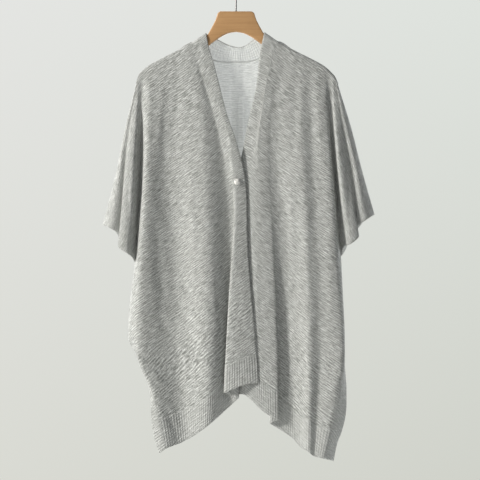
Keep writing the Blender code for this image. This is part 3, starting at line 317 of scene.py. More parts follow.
def smooth_step(low, high, at):
    """0 up to low, 1 from high on, and a soft rise between them."""
    t = min(max((at - low) / (high - low), 0.0), 1.0)
    return t * t * (3 - 2 * t)


def shoulder_drop(x):
    """Drop of the shoulder seam at a distance from the centre line."""
    return through([p.out for p in SHOULDER], [p.drop for p in SHOULDER], abs(x))


def point(x, off, drop, side):
    """A point of the cloth; side is -1 for the fronts and +1 for the back."""
    return Vector((x, side * off, WOOD_TOP - drop))


def mirrored(place):
    return Vector((place.x, -place.y, place.z))


def over_arm(x, drop, side, level):
    """A strand that starts at this point of the shoulder seam, on the arm, at a level below 0."""
    shares = [lap.share for lap in LAP]
    return point(x, through(shares, [lap.out for lap in LAP], level + 1),
                 drop + through(shares, [lap.drop for lap in LAP], level + 1), side)


# --- Strands: each is a function from a level to a point --------------------------------------
def fold_strand(fold, side, top_drop=None, top_off=None):
    """A strand down one fold, from the shoulder seam or from a point below the back neck."""
    seam_drop = shoulder_drop(fold.x_top) if top_drop is None else top_drop
    offs = (LAP[-1].out if top_off is None else top_off,) + tuple(fold[8:13])
    start = seam_drop + (LAP[-1].drop if top_drop is None else 0.0)

    def at(level):
        if level < 0:
            return over_arm(fold.x_top, seam_drop, side, level)
        return point(through(FOLD_STATIONS, fold[1:8], level), through(STATIONS, offs, level),
                     start + (fold.hem_drop - start) * level, side)
    return at


def edge_strand(edge, side, drops=None):
    """A strand down an edge; drops, if given, say where it passes each station."""
    falls = [p.drop for p in edge]
    low, end = edge[0].drop + LAP[-1].drop, edge[-1].drop
    first_off = through(falls, [p.off for p in edge], low)

    def at(level):
        if level < 0:
            return over_arm(edge[0].x, edge[0].drop, side, level)
        drop = low + (end - low) * level
        if drops:
            drop = through(STATIONS, (low,) + tuple(drops[1:]), level)
        off = max(through(falls, [p.off for p in edge], drop), 0.0)
        off += (LAP[-1].out - first_off) * (1 - smooth_step(0.0, SETTLED, level))
        return point(through(falls, [p.x for p in edge], drop), off, drop, side)
    return at


def edging_strand(edge_at, widths, offs, side, outwards):
    """The inner side of the flat edging: its width from the free edge, square to it."""
    top_x = edge_at(-1).x + outwards * widths[0]

    def square_to_edge(level):
        here = edge_at(level)
        along = edge_at(min(level + LEVEL_STEP, 1.0)) - edge_at(max(level - LEVEL_STEP, 0.0))
        square = Vector((along.z, 0.0, -along.x)).normalized()
        if square.x * outwards < 0:
            square.negate()
        off = through(STATIONS, offs, level)
        reach = math.sqrt(through(STATIONS, widths, level) ** 2 - (abs(here.y) - off) ** 2)
        return Vector((here.x, side * off, here.z)) + square * reach

    def at(level):
        on_arm = over_arm(top_x, shoulder_drop(top_x), side, min(level, 0.0))
        if level <= 0:
            return on_arm
        return on_arm.lerp(square_to_edge(max(level, SETTLED)), min(level / SETTLED, 1.0))
    return at


def sleeve_strand(sleeve, side):
    """A strand from the hanger's tip to the cuff, down to the underarm's level only."""
    on_fold = sleeve.off_cuff == 0
    thirds = (0.0, 1 / 3, 2 / 3, 1.0)
    xs = (sleeve.x_top, sleeve.x_third, sleeve.x_two_thirds, sleeve.x_cuff)
    out = 0.0 if on_fold else LAP[-1].out
    gathered = out + (sleeve.off_third - out) * GATHER_DEPTH
    offs = (out, gathered, sleeve.off_third, sleeve.off_two_thirds, sleeve.off_cuff)
    depths = (0.0, GATHER_WAY) + thirds[1:]
    start = sleeve.top_drop + LAP[-1].drop

    def at(level):
        if level < 0:
            here = over_arm(sleeve.x_top, sleeve.top_drop, side, level)
            if on_fold:
                here.y = 0.0
            return here
        way = min(level / UNDERARM, 1.0)
        return point(through(thirds, xs, way), through(depths, offs, way),
                     start + (sleeve.cuff_drop - start) * way, side)
    return at


# --- Small creases: soft troughs and ridges over the large folds ----------------------------
# Where each starts and ends (x and drop), its half width, and how far it rises.
Crease = namedtuple("Crease", "x0 drop0 x1 drop1 half rise")
SEAM_CALM = 7.0            # creases die out this near the seams at the sides
BLUNT = 0.7                # 1 for a crease that tapers evenly, less for blunter ends
LEFT_CREASES = (
    Crease(-150, 118, -168, 330, 9, 1.7), Crease(-117, 108, -129, 290, 8, -1.5),
    Crease(-96, 300, -86, 610, 10, 1.6), Crease(-170, 430, -148, 700, 11, -1.9),
    Crease(-206, 556, -148, 600, 8, 1.5), Crease(-203, 642, -138, 652, 9, -1.4),
    Crease(-122, 640, -92, 856, 10, 1.8), Crease(-186, 742, -132, 806, 7, 1.6),
    Crease(-152, 820, -118, 905, 6, -1.3), Crease(-48, 520, -42, 760, 7, 1.2),
    Crease(-236, 290, -250, 452, 6, 1.4), Crease(-226, 330, -222, 500, 5, -1.2))
RIGHT_CREASES = (
    Crease(126, 106, 120, 300, 8, -1.4), Crease(166, 120, 181, 330, 9, 1.6),
    Crease(112, 320, 121, 560, 7, 1.4), Crease(162, 400, 149, 660, 9, -1.6),
    Crease(193, 470, 201, 690, 8, 1.5), Crease(122, 640, 110, 866, 8, 1.6),
    Crease(178, 690, 166, 905, 7, -1.5), Crease(218, 566, 168, 596, 8, 1.3),
    Crease(224, 752, 186, 806, 6, 1.4), Crease(40, 470, 48, 690, 9, 1.2),
    Crease(250, 286, 262, 432, 6, 1.4), Crease(232, 330, 238, 480, 5, -1.2))
BACK_CREASES = (
    Crease(-9, 132, -13, 372, 3.5, 2.0), Crease(14, 126, 18, 350, 3.5, 2.2),
    Crease(3, 140, 2, 330, 3.5, -1.6), Crease(-30, 118, -44, 290, 6, 1.5),
    Crease(36, 116, 52, 300, 6, 1.4), Crease(-146, 120, -164, 360, 9, 1.7),
    Crease(150, 122, 172, 350, 9, 1.6), Crease(-104, 300, -92, 600, 10, -1.6),
    Crease(96, 330, 118, 640, 9, 1.5), Crease(-176, 420, -146, 680, 10, 1.8),
    Crease(176, 430, 158, 700, 9, -1.7), Crease(-60, 560, -44, 770, 8, 1.5),
    Crease(38, 600, 60, 780, 8, -1.4), Crease(-196, 610, -130, 640, 8, 1.3),
    Crease(212, 600, 150, 634, 8, 1.3), Crease(-240, 300, -252, 450, 6, 1.3),
    Crease(246, 300, 262, 436, 6, 1.3))

# All that makes one front; its outer side is at -1 or +1 along x.
Front = namedtuple("Front", "edge edging edging_off folds side side_drops sleeve fold_line "
                            "creases outer_side")
LEFT_FRONT = Front(LEFT_EDGE, LEFT_EDGING, LEFT_EDGING_OFF, LEFT_FOLDS, LEFT_SIDE,
                   LEFT_SIDE_DROPS, LEFT_SLEEVE, LEFT_FOLD_LINE, LEFT_CREASES, -1)
RIGHT_FRONT = Front(RIGHT_EDGE, RIGHT_EDGING, RIGHT_EDGING_OFF, RIGHT_FOLDS, RIGHT_SIDE,
                    RIGHT_SIDE_DROPS, RIGHT_SLEEVE, RIGHT_FOLD_LINE, RIGHT_CREASES, 1)


def crease_rise(creases, place):
    """How far the creases lift the cloth at a place."""
    x, drop, total = place.x, WOOD_TOP - place.z, 0.0
    for crease in creases:
        run_x, run_drop = crease.x1 - crease.x0, crease.drop1 - crease.drop0
        length = math.hypot(run_x, run_drop)
        along = ((x - crease.x0) * run_x + (drop - crease.drop0) * run_drop) / length
        if not 0 < along < length:
            continue
        aside = ((x - crease.x0) * run_drop - (drop - crease.drop0) * run_x) / length
        taper = math.sin(math.pi * along / length) ** BLUNT
        total += crease.rise * taper * math.exp(-(aside / crease.half) ** 2)
    return total


# --- A panel of the garment ------------------------------------------------------------------
class Panel:
    """One side of the garment, as a smooth surface that all its strands run through.

    The body's strands go from first to last; those outside them are sleeve strands, which end
    at the underarm's level.  Turn is 1 where the strands run to the outside's right and -1 where
    they run to its left, anchor is the strand from which the flat knit is measured, and the open
    neck is the stations between which the panel starts below the shoulder.
    """

    def __init__(self, side, strands, first, last, creases, turn, anchor, open_neck=None):
        self.side = side
        self.strands = strands
        self.first = first
        self.last = last
        self.creases = creases
        self.turn = turn
        self.anchor = anchor
        self.open_neck = open_neck

    def row(self, level, stations):
        """Points of one course at the given stations."""
        whole = level <= UNDERARM
        low = 0 if whole else self.first
        high = len(self.strands) - 1 if whole else self.last
        stops = [strand(level) for strand in self.strands[low:high + 1]]
        line = [self.beyond(level, stops[0], stops[1], low, -1)] + stops
        line.append(self.beyond(level, stops[-1], stops[-2], high, 1))
        row = []
        for station in stations:
            k = min(int(station), high - 1) - low
            row.append(bend(*line[k:k + 4], station - low - k))
        return row

    def beyond(self, level, end, inner, index, way):
        """The point that the course heads for past its last strand."""
        straight = end * 2 - inner
        if self.side < 0 and way < 0:
            return straight
        turned_under = mirrored(inner)
        if level <= UNDERARM:
            return turned_under
        below = self.strands[index + way](UNDERARM)
        turned_under = below.lerp(turned_under, smooth_step(UNDERARM, UNDERARM + SEAM_FADE, level))
        return turned_under.lerp(straight, smooth_step(SLIT - SEAM_FADE, SLIT, level))

    def stations(self):
        """Stations across the whole panel, close enough for cells no wider than COLUMN."""
        found = []
        for k in range(len(self.strands) - 1):
            body = self.first <= k < self.last
            wide = max((self.strands[k](level) - self.strands[k + 1](level)).length
                       for level in (BODY_LOOKS if body else SLEEVE_LOOKS))
            cells = max(FEWEST_CELLS, math.ceil(wide / COLUMN))
            found += [k + n / cells for n in range(cells)]
        return found + [float(len(self.strands) - 1)]


def levels_down():
    """Every level at which the panels have a row, with the stations among them."""
    levels = spread(-1.0, 0.0, LAP_ROWS)[:-1]
    for start, end in zip((0.0, UNDERARM, SLIT), (UNDERARM, SLIT, HEM_SEAM)):
        rows = round((end - start) * CUT_LENGTH / ROW)
        levels += spread(start, end, rows)[:-1]
    return levels + [HEM_SEAM]


def grid_normals(grid, turn):
    """Outward direction at each point of a grid of rows, any of which may be short or gappy."""
    normals = []
    for r, row in enumerate(grid):
        above, below = grid[max(r - 1, 0)], grid[min(r + 1, len(grid) - 1)]
        line = []
        for c, here in enumerate(row):
            if here is None:
                line.append(None)
                continue
            up = above[c] if c < len(above) and above[c] else here
            down = below[c] if c < len(below) and below[c] else here
            left = row[c - 1] if c > 0 and row[c - 1] else here
            right = row[c + 1] if c < len(row) - 1 and row[c + 1] else here
            outward = (right - left).cross(up - down) * turn
            if abs(here.y) < ON_MIDDLE:
                outward.y = 0.0
            line.append(outward.normalized())
        normals.append(line)
    return normals


def creased(grid, normals, creases):
    """The grid with its small creases, which die out towards the side seams."""
    if not creases:
        return grid
    return [[here if here is None
             else here + normals[r][c] * (crease_rise(creases, here)
                                          * smooth_step(0.0, SEAM_CALM, abs(here.y)))
             for c, here in enumerate(row)] for r, row in enumerate(grid)]


# --- Meshes -----------------------------------------------------------------------------------
def add_piece(name, verts, faces, uvs, finish, attributes=()):
    """A smooth mesh object, from points in millimetres and texture places in metres."""
    mesh = bpy.data.meshes.new(name)
    mesh.from_pydata([v * MM for v in verts], [], faces)
    layer = mesh.uv_layers.new(name="fabric")
    for loop in mesh.loops:
        layer.data[loop.index].uv = uvs[loop.vertex_index]
    for key, kind, values in attributes:
        attribute = mesh.attributes.new(key, kind, "POINT")
        field = "vector" if kind == "FLOAT_VECTOR" else "value"
        flat = [n for v in values for n in v] if field == "vector" else values
        attribute.data.foreach_set(field, flat)
    mesh.materials.append(finish)
    mesh.shade_smooth()
    mesh.validate()
    piece = bpy.data.objects.new(name, mesh)
    bpy.context.scene.collection.objects.link(piece)
    return piece


def shell(grid, normals, owned, turn):
    """A closed wall with a rounded rim, over the grid's cells that owned says yes to.

    Returns its points, its faces, and the row and column that each point stands on.
    """
    corners, cells = {}, []
    for r in range(len(grid) - 1):
        for c in range(min(len(grid[r]), len(grid[r + 1])) - 1):
            spots = [(r, c), (r + 1, c), (r + 1, c + 1), (r, c + 1)]
            if not owned(r, c) or any(grid[i][j] is None for i, j in spots):
                continue
            cells.append(spots if turn > 0 else spots[::-1])
            for spot in spots:
                corners.setdefault(spot, len(corners))
    spots_on = list(corners) * 2
    count = len(corners)
    verts = [grid[r][c] + normals[r][c] * (WALL / 2) for r, c in corners]
    verts += [grid[r][c] - normals[r][c] * (WALL / 2) for r, c in corners]
    faces, sides = [], {}
    for spots in cells:
        outer = [corners[s] for s in spots]
        faces.append(tuple(outer))
        faces.append(tuple(n + count for n in reversed(outer)))
        middle = sum((grid[r][c] for r, c in spots), Vector()) / 4
        for a, b in zip(spots, spots[1:] + spots[:1]):
            if (b, a) in sides:
                del sides[(b, a)]
            else:
                sides[(a, b)] = middle
    away = {}
    for (a, b), middle in sides.items():
        start, end = grid[a[0]][a[1]], grid[b[0]][b[1]]
        along = (end - start).normalized()
        square = start - middle
        square -= along * square.dot(along)
        for spot in (a, b):
            away[spot] = away.get(spot, Vector()) + square.normalized()
    rim = {}
    for spot, direction in away.items():
        rim[spot] = len(verts)
        edge = grid[spot[0]][spot[1]]
        past = SEAM_ROUND if abs(edge.y) < ON_MIDDLE else EDGE_ROUND
        verts.append(edge + direction.normalized() * past)
        spots_on.append(spot)
    for a, b in sides:
        faces.append((corners[b], corners[a], rim[a], rim[b]))
        faces.append((rim[b], rim[a], corners[a] + count, corners[b] + count))
    return verts, faces, spots_on


def settled(piece):
    """The piece as the plain mesh that its modifiers make of it."""
    graph = bpy.context.evaluated_depsgraph_get()
    made = bpy.data.meshes.new_from_object(piece.evaluated_get(graph))
    old = piece.data
    piece.modifiers.clear()
    if piece.type == "MESH":
        piece.data = made
        bpy.data.meshes.remove(old)
        return piece
    name = piece.name
    bpy.data.objects.remove(piece)
    new = bpy.data.objects.new(name, made)
    bpy.context.scene.collection.objects.link(new)
    return new


def hand_over(piece, slot, *nodes):
    """Hangs the piece under the root body and hides the parts of the model that it stands for."""
    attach(piece, "root")
    if nodes:
        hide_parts(*nodes)
    return piece


# --- Node trees -------------------------------------------------------------------------------
class Signal:
    """A socket that can stand in a sum; each operation adds a Math node."""

    def __init__(self, tree, socket):
        self.tree = tree
        self.socket = socket

    def __add__(self, other):
        return self.tree.maths("ADD", self, other)

    def __radd__(self, other):
        return self.tree.maths("ADD", other, self)

    def __sub__(self, other):
        return self.tree.maths("SUBTRACT", self, other)

    def __rsub__(self, other):
        return self.tree.maths("SUBTRACT", other, self)

    def __mul__(self, other):
        return self.tree.maths("MULTIPLY", self, other)

    def __rmul__(self, other):
        return self.tree.maths("MULTIPLY", other, self)

    def __truediv__(self, other):
        return self.tree.maths("DIVIDE", self, other)

    def __rtruediv__(self, other):
        return self.tree.maths("DIVIDE", other, self)


class Tree:
    """A node tree, and the one way in which its nodes are made."""

    def __init__(self, tree):
        self.tree = tree

    def node(self, kind, settings=(), inputs=(), output=0):
        """Settings first, then the sockets' values or links, by name or number."""
        new = self.tree.nodes.new(kind)
        for name, value in dict(settings).items():
            setattr(new, name, value)
        for key, value in dict(inputs).items():
            if isinstance(value, Signal):
                self.tree.links.new(value.socket, new.inputs[key])
            else:
                new.inputs[key].default_value = value
        return Signal(self, new.outputs[output])

    def maths(self, operation, *values):
        return self.node("ShaderNodeMath", {"operation": operation}, dict(enumerate(values)))

    def parts(self, vector):
        """The three numbers of a vector."""
        first = self.node("ShaderNodeSeparateXYZ", {}, {0: vector})
        return [Signal(self, output) for output in first.socket.node.outputs]

    def blend(self, low, high, share):
        """A colour between two colours."""
        return self.node("ShaderNodeMix", {"data_type": "RGBA"},
                         {"Factor": share, 6: low, 7: high}, 2)


class Finish(Tree):
    """A material with one Principled shader."""

    def __init__(self, name, **constants):
        self.material = bpy.data.materials.new(name)
        self.material.use_nodes = True
        super().__init__(self.material.node_tree)
        self.shader = self.tree.nodes["Principled BSDF"]
        for key, value in constants.items():
            self.shader.inputs[key.replace("_", " ")].default_value = value

    def feed(self, key, signal):
        """Leads a signal to one of the shader's sockets."""
        self.tree.links.new(signal.socket, self.shader.inputs[key])

    def on_object(self):
        """Places on the object, in metres."""
        return self.node("ShaderNodeTexCoord", {}, {}, 3)

    def noise(self, place, size, detail=1.0, roughness=0.5):
        """Noise from 0 to 1 whose blobs are about as large as size, an extent for each axis."""
        scale = tuple(1 / n for n in size)
        spot = self.node("ShaderNodeMapping", {}, {"Vector": place, "Scale": scale})
        return self.node("ShaderNodeTexNoise", {},
                         {"Vector": spot, "Scale": 1.0, "Detail": detail,
                          "Roughness": roughness})

    def let_through(self, tint, share):
        """Mixes in the light that passes through a thin piece; tint and share are constants."""
        leave = self.tree.nodes["Material Output"]
        glow = self.node("ShaderNodeBsdfTranslucent", {}, {"Color": tint})
        both = self.node("ShaderNodeMixShader", {}, {0: share, 2: glow})
        self.tree.links.new(self.shader.outputs[0], both.socket.node.inputs[1])
        self.tree.links.new(both.socket, leave.inputs["Surface"])

    def bump(self, height, depth, strength):
        """Relief without any shape of its own."""
        self.feed("Normal", self.node("ShaderNodeBump", {},
                                      {"Height": height, "Distance": depth,
                                       "Strength": strength}))


def colour(red, green, blue):
    return (red, green, blue, 1.0)


# --- Finishes ---------------------------------------------------------------------------------
HEATHER_DARK, HEATHER_LIGHT = colour(0.17, 0.175, 0.16), colour(0.72, 0.73, 0.70)
# The ripple along the courses, set by RIPPLE and RIPPLES, is partly the heather's streaks and
# partly painted shading of the knit's course ridges.
RIPPLE = 0.0042            # from one streak to the next
WANDER = (0.040, 0.014, 1.0)         # how long and how far apart the streaks' bends are
STRAY = 1.5                # how many ripples a bend is deep
STREAK, FLECK, CLOUD = (0.017, 0.0020, 1.0), (0.0036, 0.0015, 1.0), (0.11, 0.06, 1.0)
LIGHT_SHARE = 0.46         # of the yarn's fibres, on the whole
RIPPLES, STREAKS, FLECKS, CLOUDS = 0.45, 2.0, 1.4, 0.15         # how strongly each shows
WALE, COURSE = 0.0026, 0.0023        # width and height of one knit stitch
KNIT_DEPTH, KNIT_STRENGTH = 0.0004, 0.5
KNIT_CONTRAST, RIB_CONTRAST = 1.0, 0.55          # of the light and dark fibres
GLOW = colour(0.93, 0.935, 0.915)    # of the light that comes through the cloth
FRONT_SHEERNESS, BACK_SHEERNESS = 0.15, 0.5      # light falls on the back from behind too


def heather(finish, place, contrast):
    """Share of light fibre: streaks along the courses, partly painted shade of the knit's course
    ridges, finer flecks, and faint clouds.
    """
    _, down, _ = finish.parts(place)
    stray = finish.noise(place, WANDER) * STRAY
    # painted shade of the knit's course ridges, mixed into the heather's streaks
    painted_course_shade = finish.maths("SINE", (down / RIPPLE + stray) * math.tau)
    streaks = finish.noise(place, STREAK)
    flecks = finish.noise(place, FLECK) - 0.5
    clouds = finish.noise(place, CLOUD) - 0.5
    mottle_and_course_shade = painted_course_shade * streaks * RIPPLES + (streaks - 0.5) * STREAKS + flecks * FLECKS
    return LIGHT_SHARE + mottle_and_course_shade * contrast + clouds * CLOUDS


def stockinette(finish, place):
    """Height of the plain knit: two slanting legs for each stitch."""
    across, down, _ = finish.parts(place)
    across, down = across / WALE, down / COURSE
    lean = finish.maths("PINGPONG", across, 0.5)
    legs = finish.maths("ABSOLUTE", finish.maths("SINE", across * math.tau))
    rungs = finish.maths("SINE", (down + lean) * math.tau) * 0.3 + 0.7
    return legs * rungs


def smooth_yarn(finish, place):
    """Height of the bands' yarn, whose ribs are real shape."""
    return 0.0


def knit_finish(name, relief, contrast, sheerness):
    """Heather yarn, a little sheer; relief gives the height of its stitches."""
    finish = Finish(name, Roughness=0.92)
    place = finish.node("ShaderNodeUVMap", {"uv_map": "fabric"})
    light = heather(finish, place, contrast)
    shade = finish.blend(HEATHER_DARK, HEATHER_LIGHT, light)
    finish.feed("Base Color", shade)
    finish.bump(relief(finish, place) + light, KNIT_DEPTH, KNIT_STRENGTH)
    finish.let_through(GLOW, sheerness)
    return finish.material


WOOD_DARK, WOOD_LIGHT = colour(0.36, 0.19, 0.075), colour(0.52, 0.31, 0.14)
WOOD_GRAIN, WOOD_PORES = (0.09, 0.004, 0.0035), (0.012, 0.0012, 0.0008)
PEARL_DARK, PEARL_LIGHT = colour(0.45, 0.45, 0.43), colour(0.90, 0.88, 0.83)
PEARL_SWIRL = (0.004, 0.004, 0.003)
WIRE_COLOUR, WIRE_DRAWN = colour(0.16, 0.155, 0.15), (0.001, 0.001, 0.02)


def wood_finish():
    """Lacquered wood, its grain along the hanger."""
    finish = Finish("light brown wood", Roughness=0.42, Coat_Weight=0.25)
    place = finish.on_object()
    grain = finish.noise(place, WOOD_GRAIN, 3.0, 0.55)
    pores = finish.noise(place, WOOD_PORES)
    finish.feed("Base Color", finish.blend(WOOD_DARK, WOOD_LIGHT,
                                           grain * 1.2 + pores * 0.3 - 0.25))
    return finish.material


def pearl_finish():
    """Mother-of-pearl, with a faint swirl."""
    finish = Finish("pearl", Roughness=0.18, Coat_Weight=0.6)
    swirl = finish.noise(finish.on_object(), PEARL_SWIRL)
    finish.feed("Base Color", finish.blend(PEARL_DARK, PEARL_LIGHT, swirl * 2.4 - 0.7))
    return finish.material


def wire_finish():
    """Dark drawn wire."""
    finish = Finish("dark wire", Base_Color=WIRE_COLOUR, Metallic=1.0)
    finish.feed("Roughness", finish.noise(finish.on_object(), WIRE_DRAWN) * 0.2 + 0.25)
    return finish.material


# --- Geometry Nodes ---------------------------------------------------------------------------
class Recipe(Tree):
    """A Geometry Nodes tree with named inputs, which repeats one thing over a mesh."""

    def __init__(self, name, finish, **numbers):
        group = bpy.data.node_groups.new(name, "GeometryNodeTree")
        super().__init__(group)
        kinds = {"Geometry": "NodeSocketGeometry", "Finish": "NodeSocketMaterial"}
        faces = group.interface
        for key in ("Geometry", *numbers, "Finish"):
            socket = faces.new_socket(key, in_out="INPUT",
                                      socket_type=kinds.get(key, "NodeSocketFloat"))
            if key in numbers:
                socket.default_value = numbers[key]
        faces.new_socket("Geometry", in_out="OUTPUT", socket_type="NodeSocketGeometry")
        self.enter = group.nodes.new("NodeGroupInput")
        self.leave = group.nodes.new("NodeGroupOutput")
        self.finish = finish
        self.numbers = numbers

    def given(self, key):
        return Signal(self, self.enter.outputs[key])

    def named(self, key, kind="FLOAT"):
        return self.node("GeometryNodeInputNamedAttribute", {"data_type": kind}, {"Name": key})

    def scaled_by(self, vector, number):
        return self.node("ShaderNodeVectorMath", {"operation": "SCALE"},
                         {0: vector, "Scale": number})

    def close(self, geometry):
        """Last nodes of every recipe."""
        whole = self.node("GeometryNodeRealizeInstances", {}, {"Geometry": geometry})
        dressed = self.node("GeometryNodeSetMaterial", {},
                            {"Geometry": whole, "Material": self.given("Finish")})
        self.tree.links.new(dressed.socket, self.leave.inputs[0])

    def cook(self, piece):
        """The piece after this recipe, as a plain mesh."""
        modifier = piece.modifiers.new(self.tree.name, "NODES")
        modifier.node_group = self.tree
        for socket in self.tree.interface.items_tree:
            if socket.in_out == "INPUT" and socket.name in self.numbers:
                modifier[socket.identifier] = self.numbers[socket.name]
            elif socket.in_out == "INPUT" and socket.name == "Finish":
                modifier[socket.identifier] = self.finish
        return settled(piece)


def rib_recipe(finish):
    """Pushes a band in and out, rib by rib."""
    recipe = Recipe("rib relief", finish, Pitch=RIB_PITCH * MM, Rise=RIB_RISE / 2 * MM)
    turns = recipe.named("along") * math.tau / recipe.given("Pitch")
    push = recipe.maths("COSINE", turns) * recipe.given("Rise") * recipe.named("fade")
    moved = recipe.node("GeometryNodeSetPosition", {},
                        {"Geometry": recipe.given("Geometry"),
                         "Offset": recipe.scaled_by(recipe.named("outward", "FLOAT_VECTOR"),
                                                    push)})
    recipe.close(moved)
    return recipe


def stitch_recipe(finish):
    """Sets a chain of stitches along a line of edges."""
    recipe = Recipe("stitch chain", finish, Pitch=0.0033, Width=0.0022, Height=0.0015)
    line = recipe.node("GeometryNodeMeshToCurve", {}, {"Mesh": recipe.given("Geometry")})
    stops = recipe.node("GeometryNodeResampleCurve", {"mode": "LENGTH"},
                        {"Curve": line, "Length": recipe.given("Pitch")})
    bead = recipe.node("GeometryNodeMeshIcoSphere", {}, {"Radius": 0.5, "Subdivisions": 1})
    tangent = recipe.node("GeometryNodeInputTangent")
    level = recipe.node("FunctionNodeAlignRotationToVector", {"axis": "X"},
                        {"Vector": tangent})
    turned = recipe.node("FunctionNodeAlignRotationToVector", {"axis": "Z", "pivot_axis": "X"},
                         {"Rotation": level,
                          "Vector": recipe.named("outward", "FLOAT_VECTOR")})
    size = recipe.node("ShaderNodeCombineXYZ", {},
                       {0: recipe.given("Pitch") * 1.15, 1: recipe.given("Width"),
                        2: recipe.given("Height")})
    chain = recipe.node("GeometryNodeInstanceOnPoints", {},
                        {"Points": stops, "Instance": bead, "Rotation": turned, "Scale": size})
    whole = recipe.node("GeometryNodeRealizeInstances", {}, {"Geometry": chain})
    across, _, down = recipe.parts(recipe.node("GeometryNodeInputPosition"))
    place = recipe.node("ShaderNodeCombineXYZ", {}, {0: across, 1: down})
    mapped = recipe.node("GeometryNodeStoreNamedAttribute",
                         {"data_type": "FLOAT2", "domain": "CORNER"},
                         {"Geometry": whole, "Name": "fabric", "Value": place})
    smooth = recipe.node("GeometryNodeSetShadeSmooth", {}, {"Geometry": mapped})
    recipe.close(smooth)
    return recipe


# --- Nets: a panel's points, row by row -------------------------------------------------------
class Net:
    """Rows of points, their outward directions, and their places in the flat knit."""

    def __init__(self, grid, places, turn, creases=()):
        self.grid = creased(grid, grid_normals(grid, turn), creases)
        self.normals = grid_normals(self.grid, turn)
        self.places = places
        self.turn = turn

    def piece(self, name, finish, owned=None, along=None, fade=None):
        """A wall over the cells that owned says yes to, all of them if it isn't given."""
        verts, faces, spots = shell(self.grid, self.normals, owned or (lambda r, c: True),
                                    self.turn)
        places = [self.places[r][c] for r, c in spots]
        ribbed = ()
        if along:
            ribbed = (("along", "FLOAT", [along(r, c) * MM for r, c in spots]),
                      ("fade", "FLOAT", [fade(r, c) for r, c in spots]),
                      ("outward", "FLOAT_VECTOR", [self.normals[r][c] for r, c in spots]))
        return add_piece(name, verts, faces, places, finish, ribbed)

    def line(self, spots):
        """Points and outward directions along a line through these spots."""
        return [(self.grid[r][c], self.normals[r][c]) for r, c in spots]


def flat_places(panel, level, stations, row):
    """Where a course's points lie in the flat knit: across it and down it, in metres.

    The body is measured from the anchor strand and turned by the courses' lean.  A sleeve opens
    like a fan, from the side seam to the fold along its top.
    """
    run = [n * MM for n in lengths_along(row)]

    def nearest(station):
        return min(range(len(run)), key=lambda k: abs(stations[k] - station))

    first, last, anchor = (run[nearest(n)] for n in (panel.first, panel.last, panel.anchor))
    top = panel.strands[panel.last](0.0).z
    lean = COURSE_LEAN if panel.side < 0 else 0.0
    lap = min(level, 0.0) * LAP_LENGTH * MM
    found = []
    for here, station, place in zip(run, stations, row):
        across, fall = here - anchor, max(level, 0.0) * CUT_LENGTH * MM
        if panel.side < 0:
            fall = (top - place.z) * MM
        if panel.first <= station <= panel.last:
            found.append((across * math.cos(lean) + fall * math.sin(lean),
                          fall * math.cos(lean) - across * math.sin(lean) + lap))
            continue
        if station > panel.last:
            start, way, share = last - anchor, 1, (here - last) / max(run[-1] - last, TINY)
        else:
            start, way, share = first - anchor, -1, (first - here) / max(first - run[0], TINY)
        if panel.side < 0:
            fall = (top - row[nearest(panel.last)].z) * MM
        turn = (1 - share) * (math.pi / 2 - lean)
        reach = fall * (1 + (SLEEVE_RUN - 1) * share)
        found.append((start + way * reach * math.cos(turn), reach * math.sin(turn) + lap))
    return found


def net_of(panel, levels, stations):
    """The panel's points at these levels and stations, with its creases."""
    grid, places = [], []
    for level in levels:
        whole = level <= UNDERARM
        here = [s for s in stations if whole or panel.first <= s <= panel.last]
        row = panel.row(level, here)
        flat = flat_places(panel, level, here, row)
        lead = 0 if whole else sum(1 for s in stations if s < panel.first)
        if level < 0 and panel.open_neck:
            low, high = panel.open_neck
            row = [None if low < s < high else p for s, p in zip(here, row)]
        grid.append([None] * lead + row)
        places.append([(0.0, 0.0)] * lead + flat)
    return Net(grid, places, panel.turn, panel.creases)


def even_stations(panel, level, first, last):
    """Stations that cut a course into even cells, with RIB_CELLS cells to a rib."""
    dense = spread(first, last, SAMPLES * (last - first))
    run = lengths_along(panel.row(level, dense))
    ribs = round(run[-1] / RIB_PITCH)
    found, k = [], 0
    for goal in spread(0.0, run[-1], ribs * RIB_CELLS):
        while k < len(run) - 2 and run[k + 1] < goal:
            k += 1
        share = (goal - run[k]) / (run[k + 1] - run[k])
        found.append(dense[k] + (dense[k + 1] - dense[k]) * min(share, 1.0))
    return found


# --- The garment ------------------------------------------------------------------------------
def front_panel(front):
    """A front, from its free edge out to the fold along the top of its sleeve."""
    edge_at = edge_strand(front.edge, -1)
    strands = [edge_at, edging_strand(edge_at, front.edging, front.edging_off, -1,
                                      front.outer_side)]
    strands += [fold_strand(fold, -1) for fold in front.folds]
    strands.append(edge_strand(front.side, -1, front.side_drops))
    last = len(strands) - 1
    strands += [sleeve_strand(s, -1) for s in front.sleeve + (front.fold_line,)]
    return Panel(-1, strands, 0, last, front.creases, front.outer_side, last)


def down_to_slit(side_edge, slit_edge):
    """A side seam shared with the front, with the back's own edge below it."""
    return tuple(p for p in side_edge if p.drop < slit_edge[0].drop) + slit_edge


def neck_places(edge, xs):
    """Points of the back neckline at the given distances from the centre line."""
    along = [p.x for p in edge]
    return [point(x, through(along, [p.off for p in edge], x),
                  through(along, [p.drop for p in edge], x), 1) for x in xs]


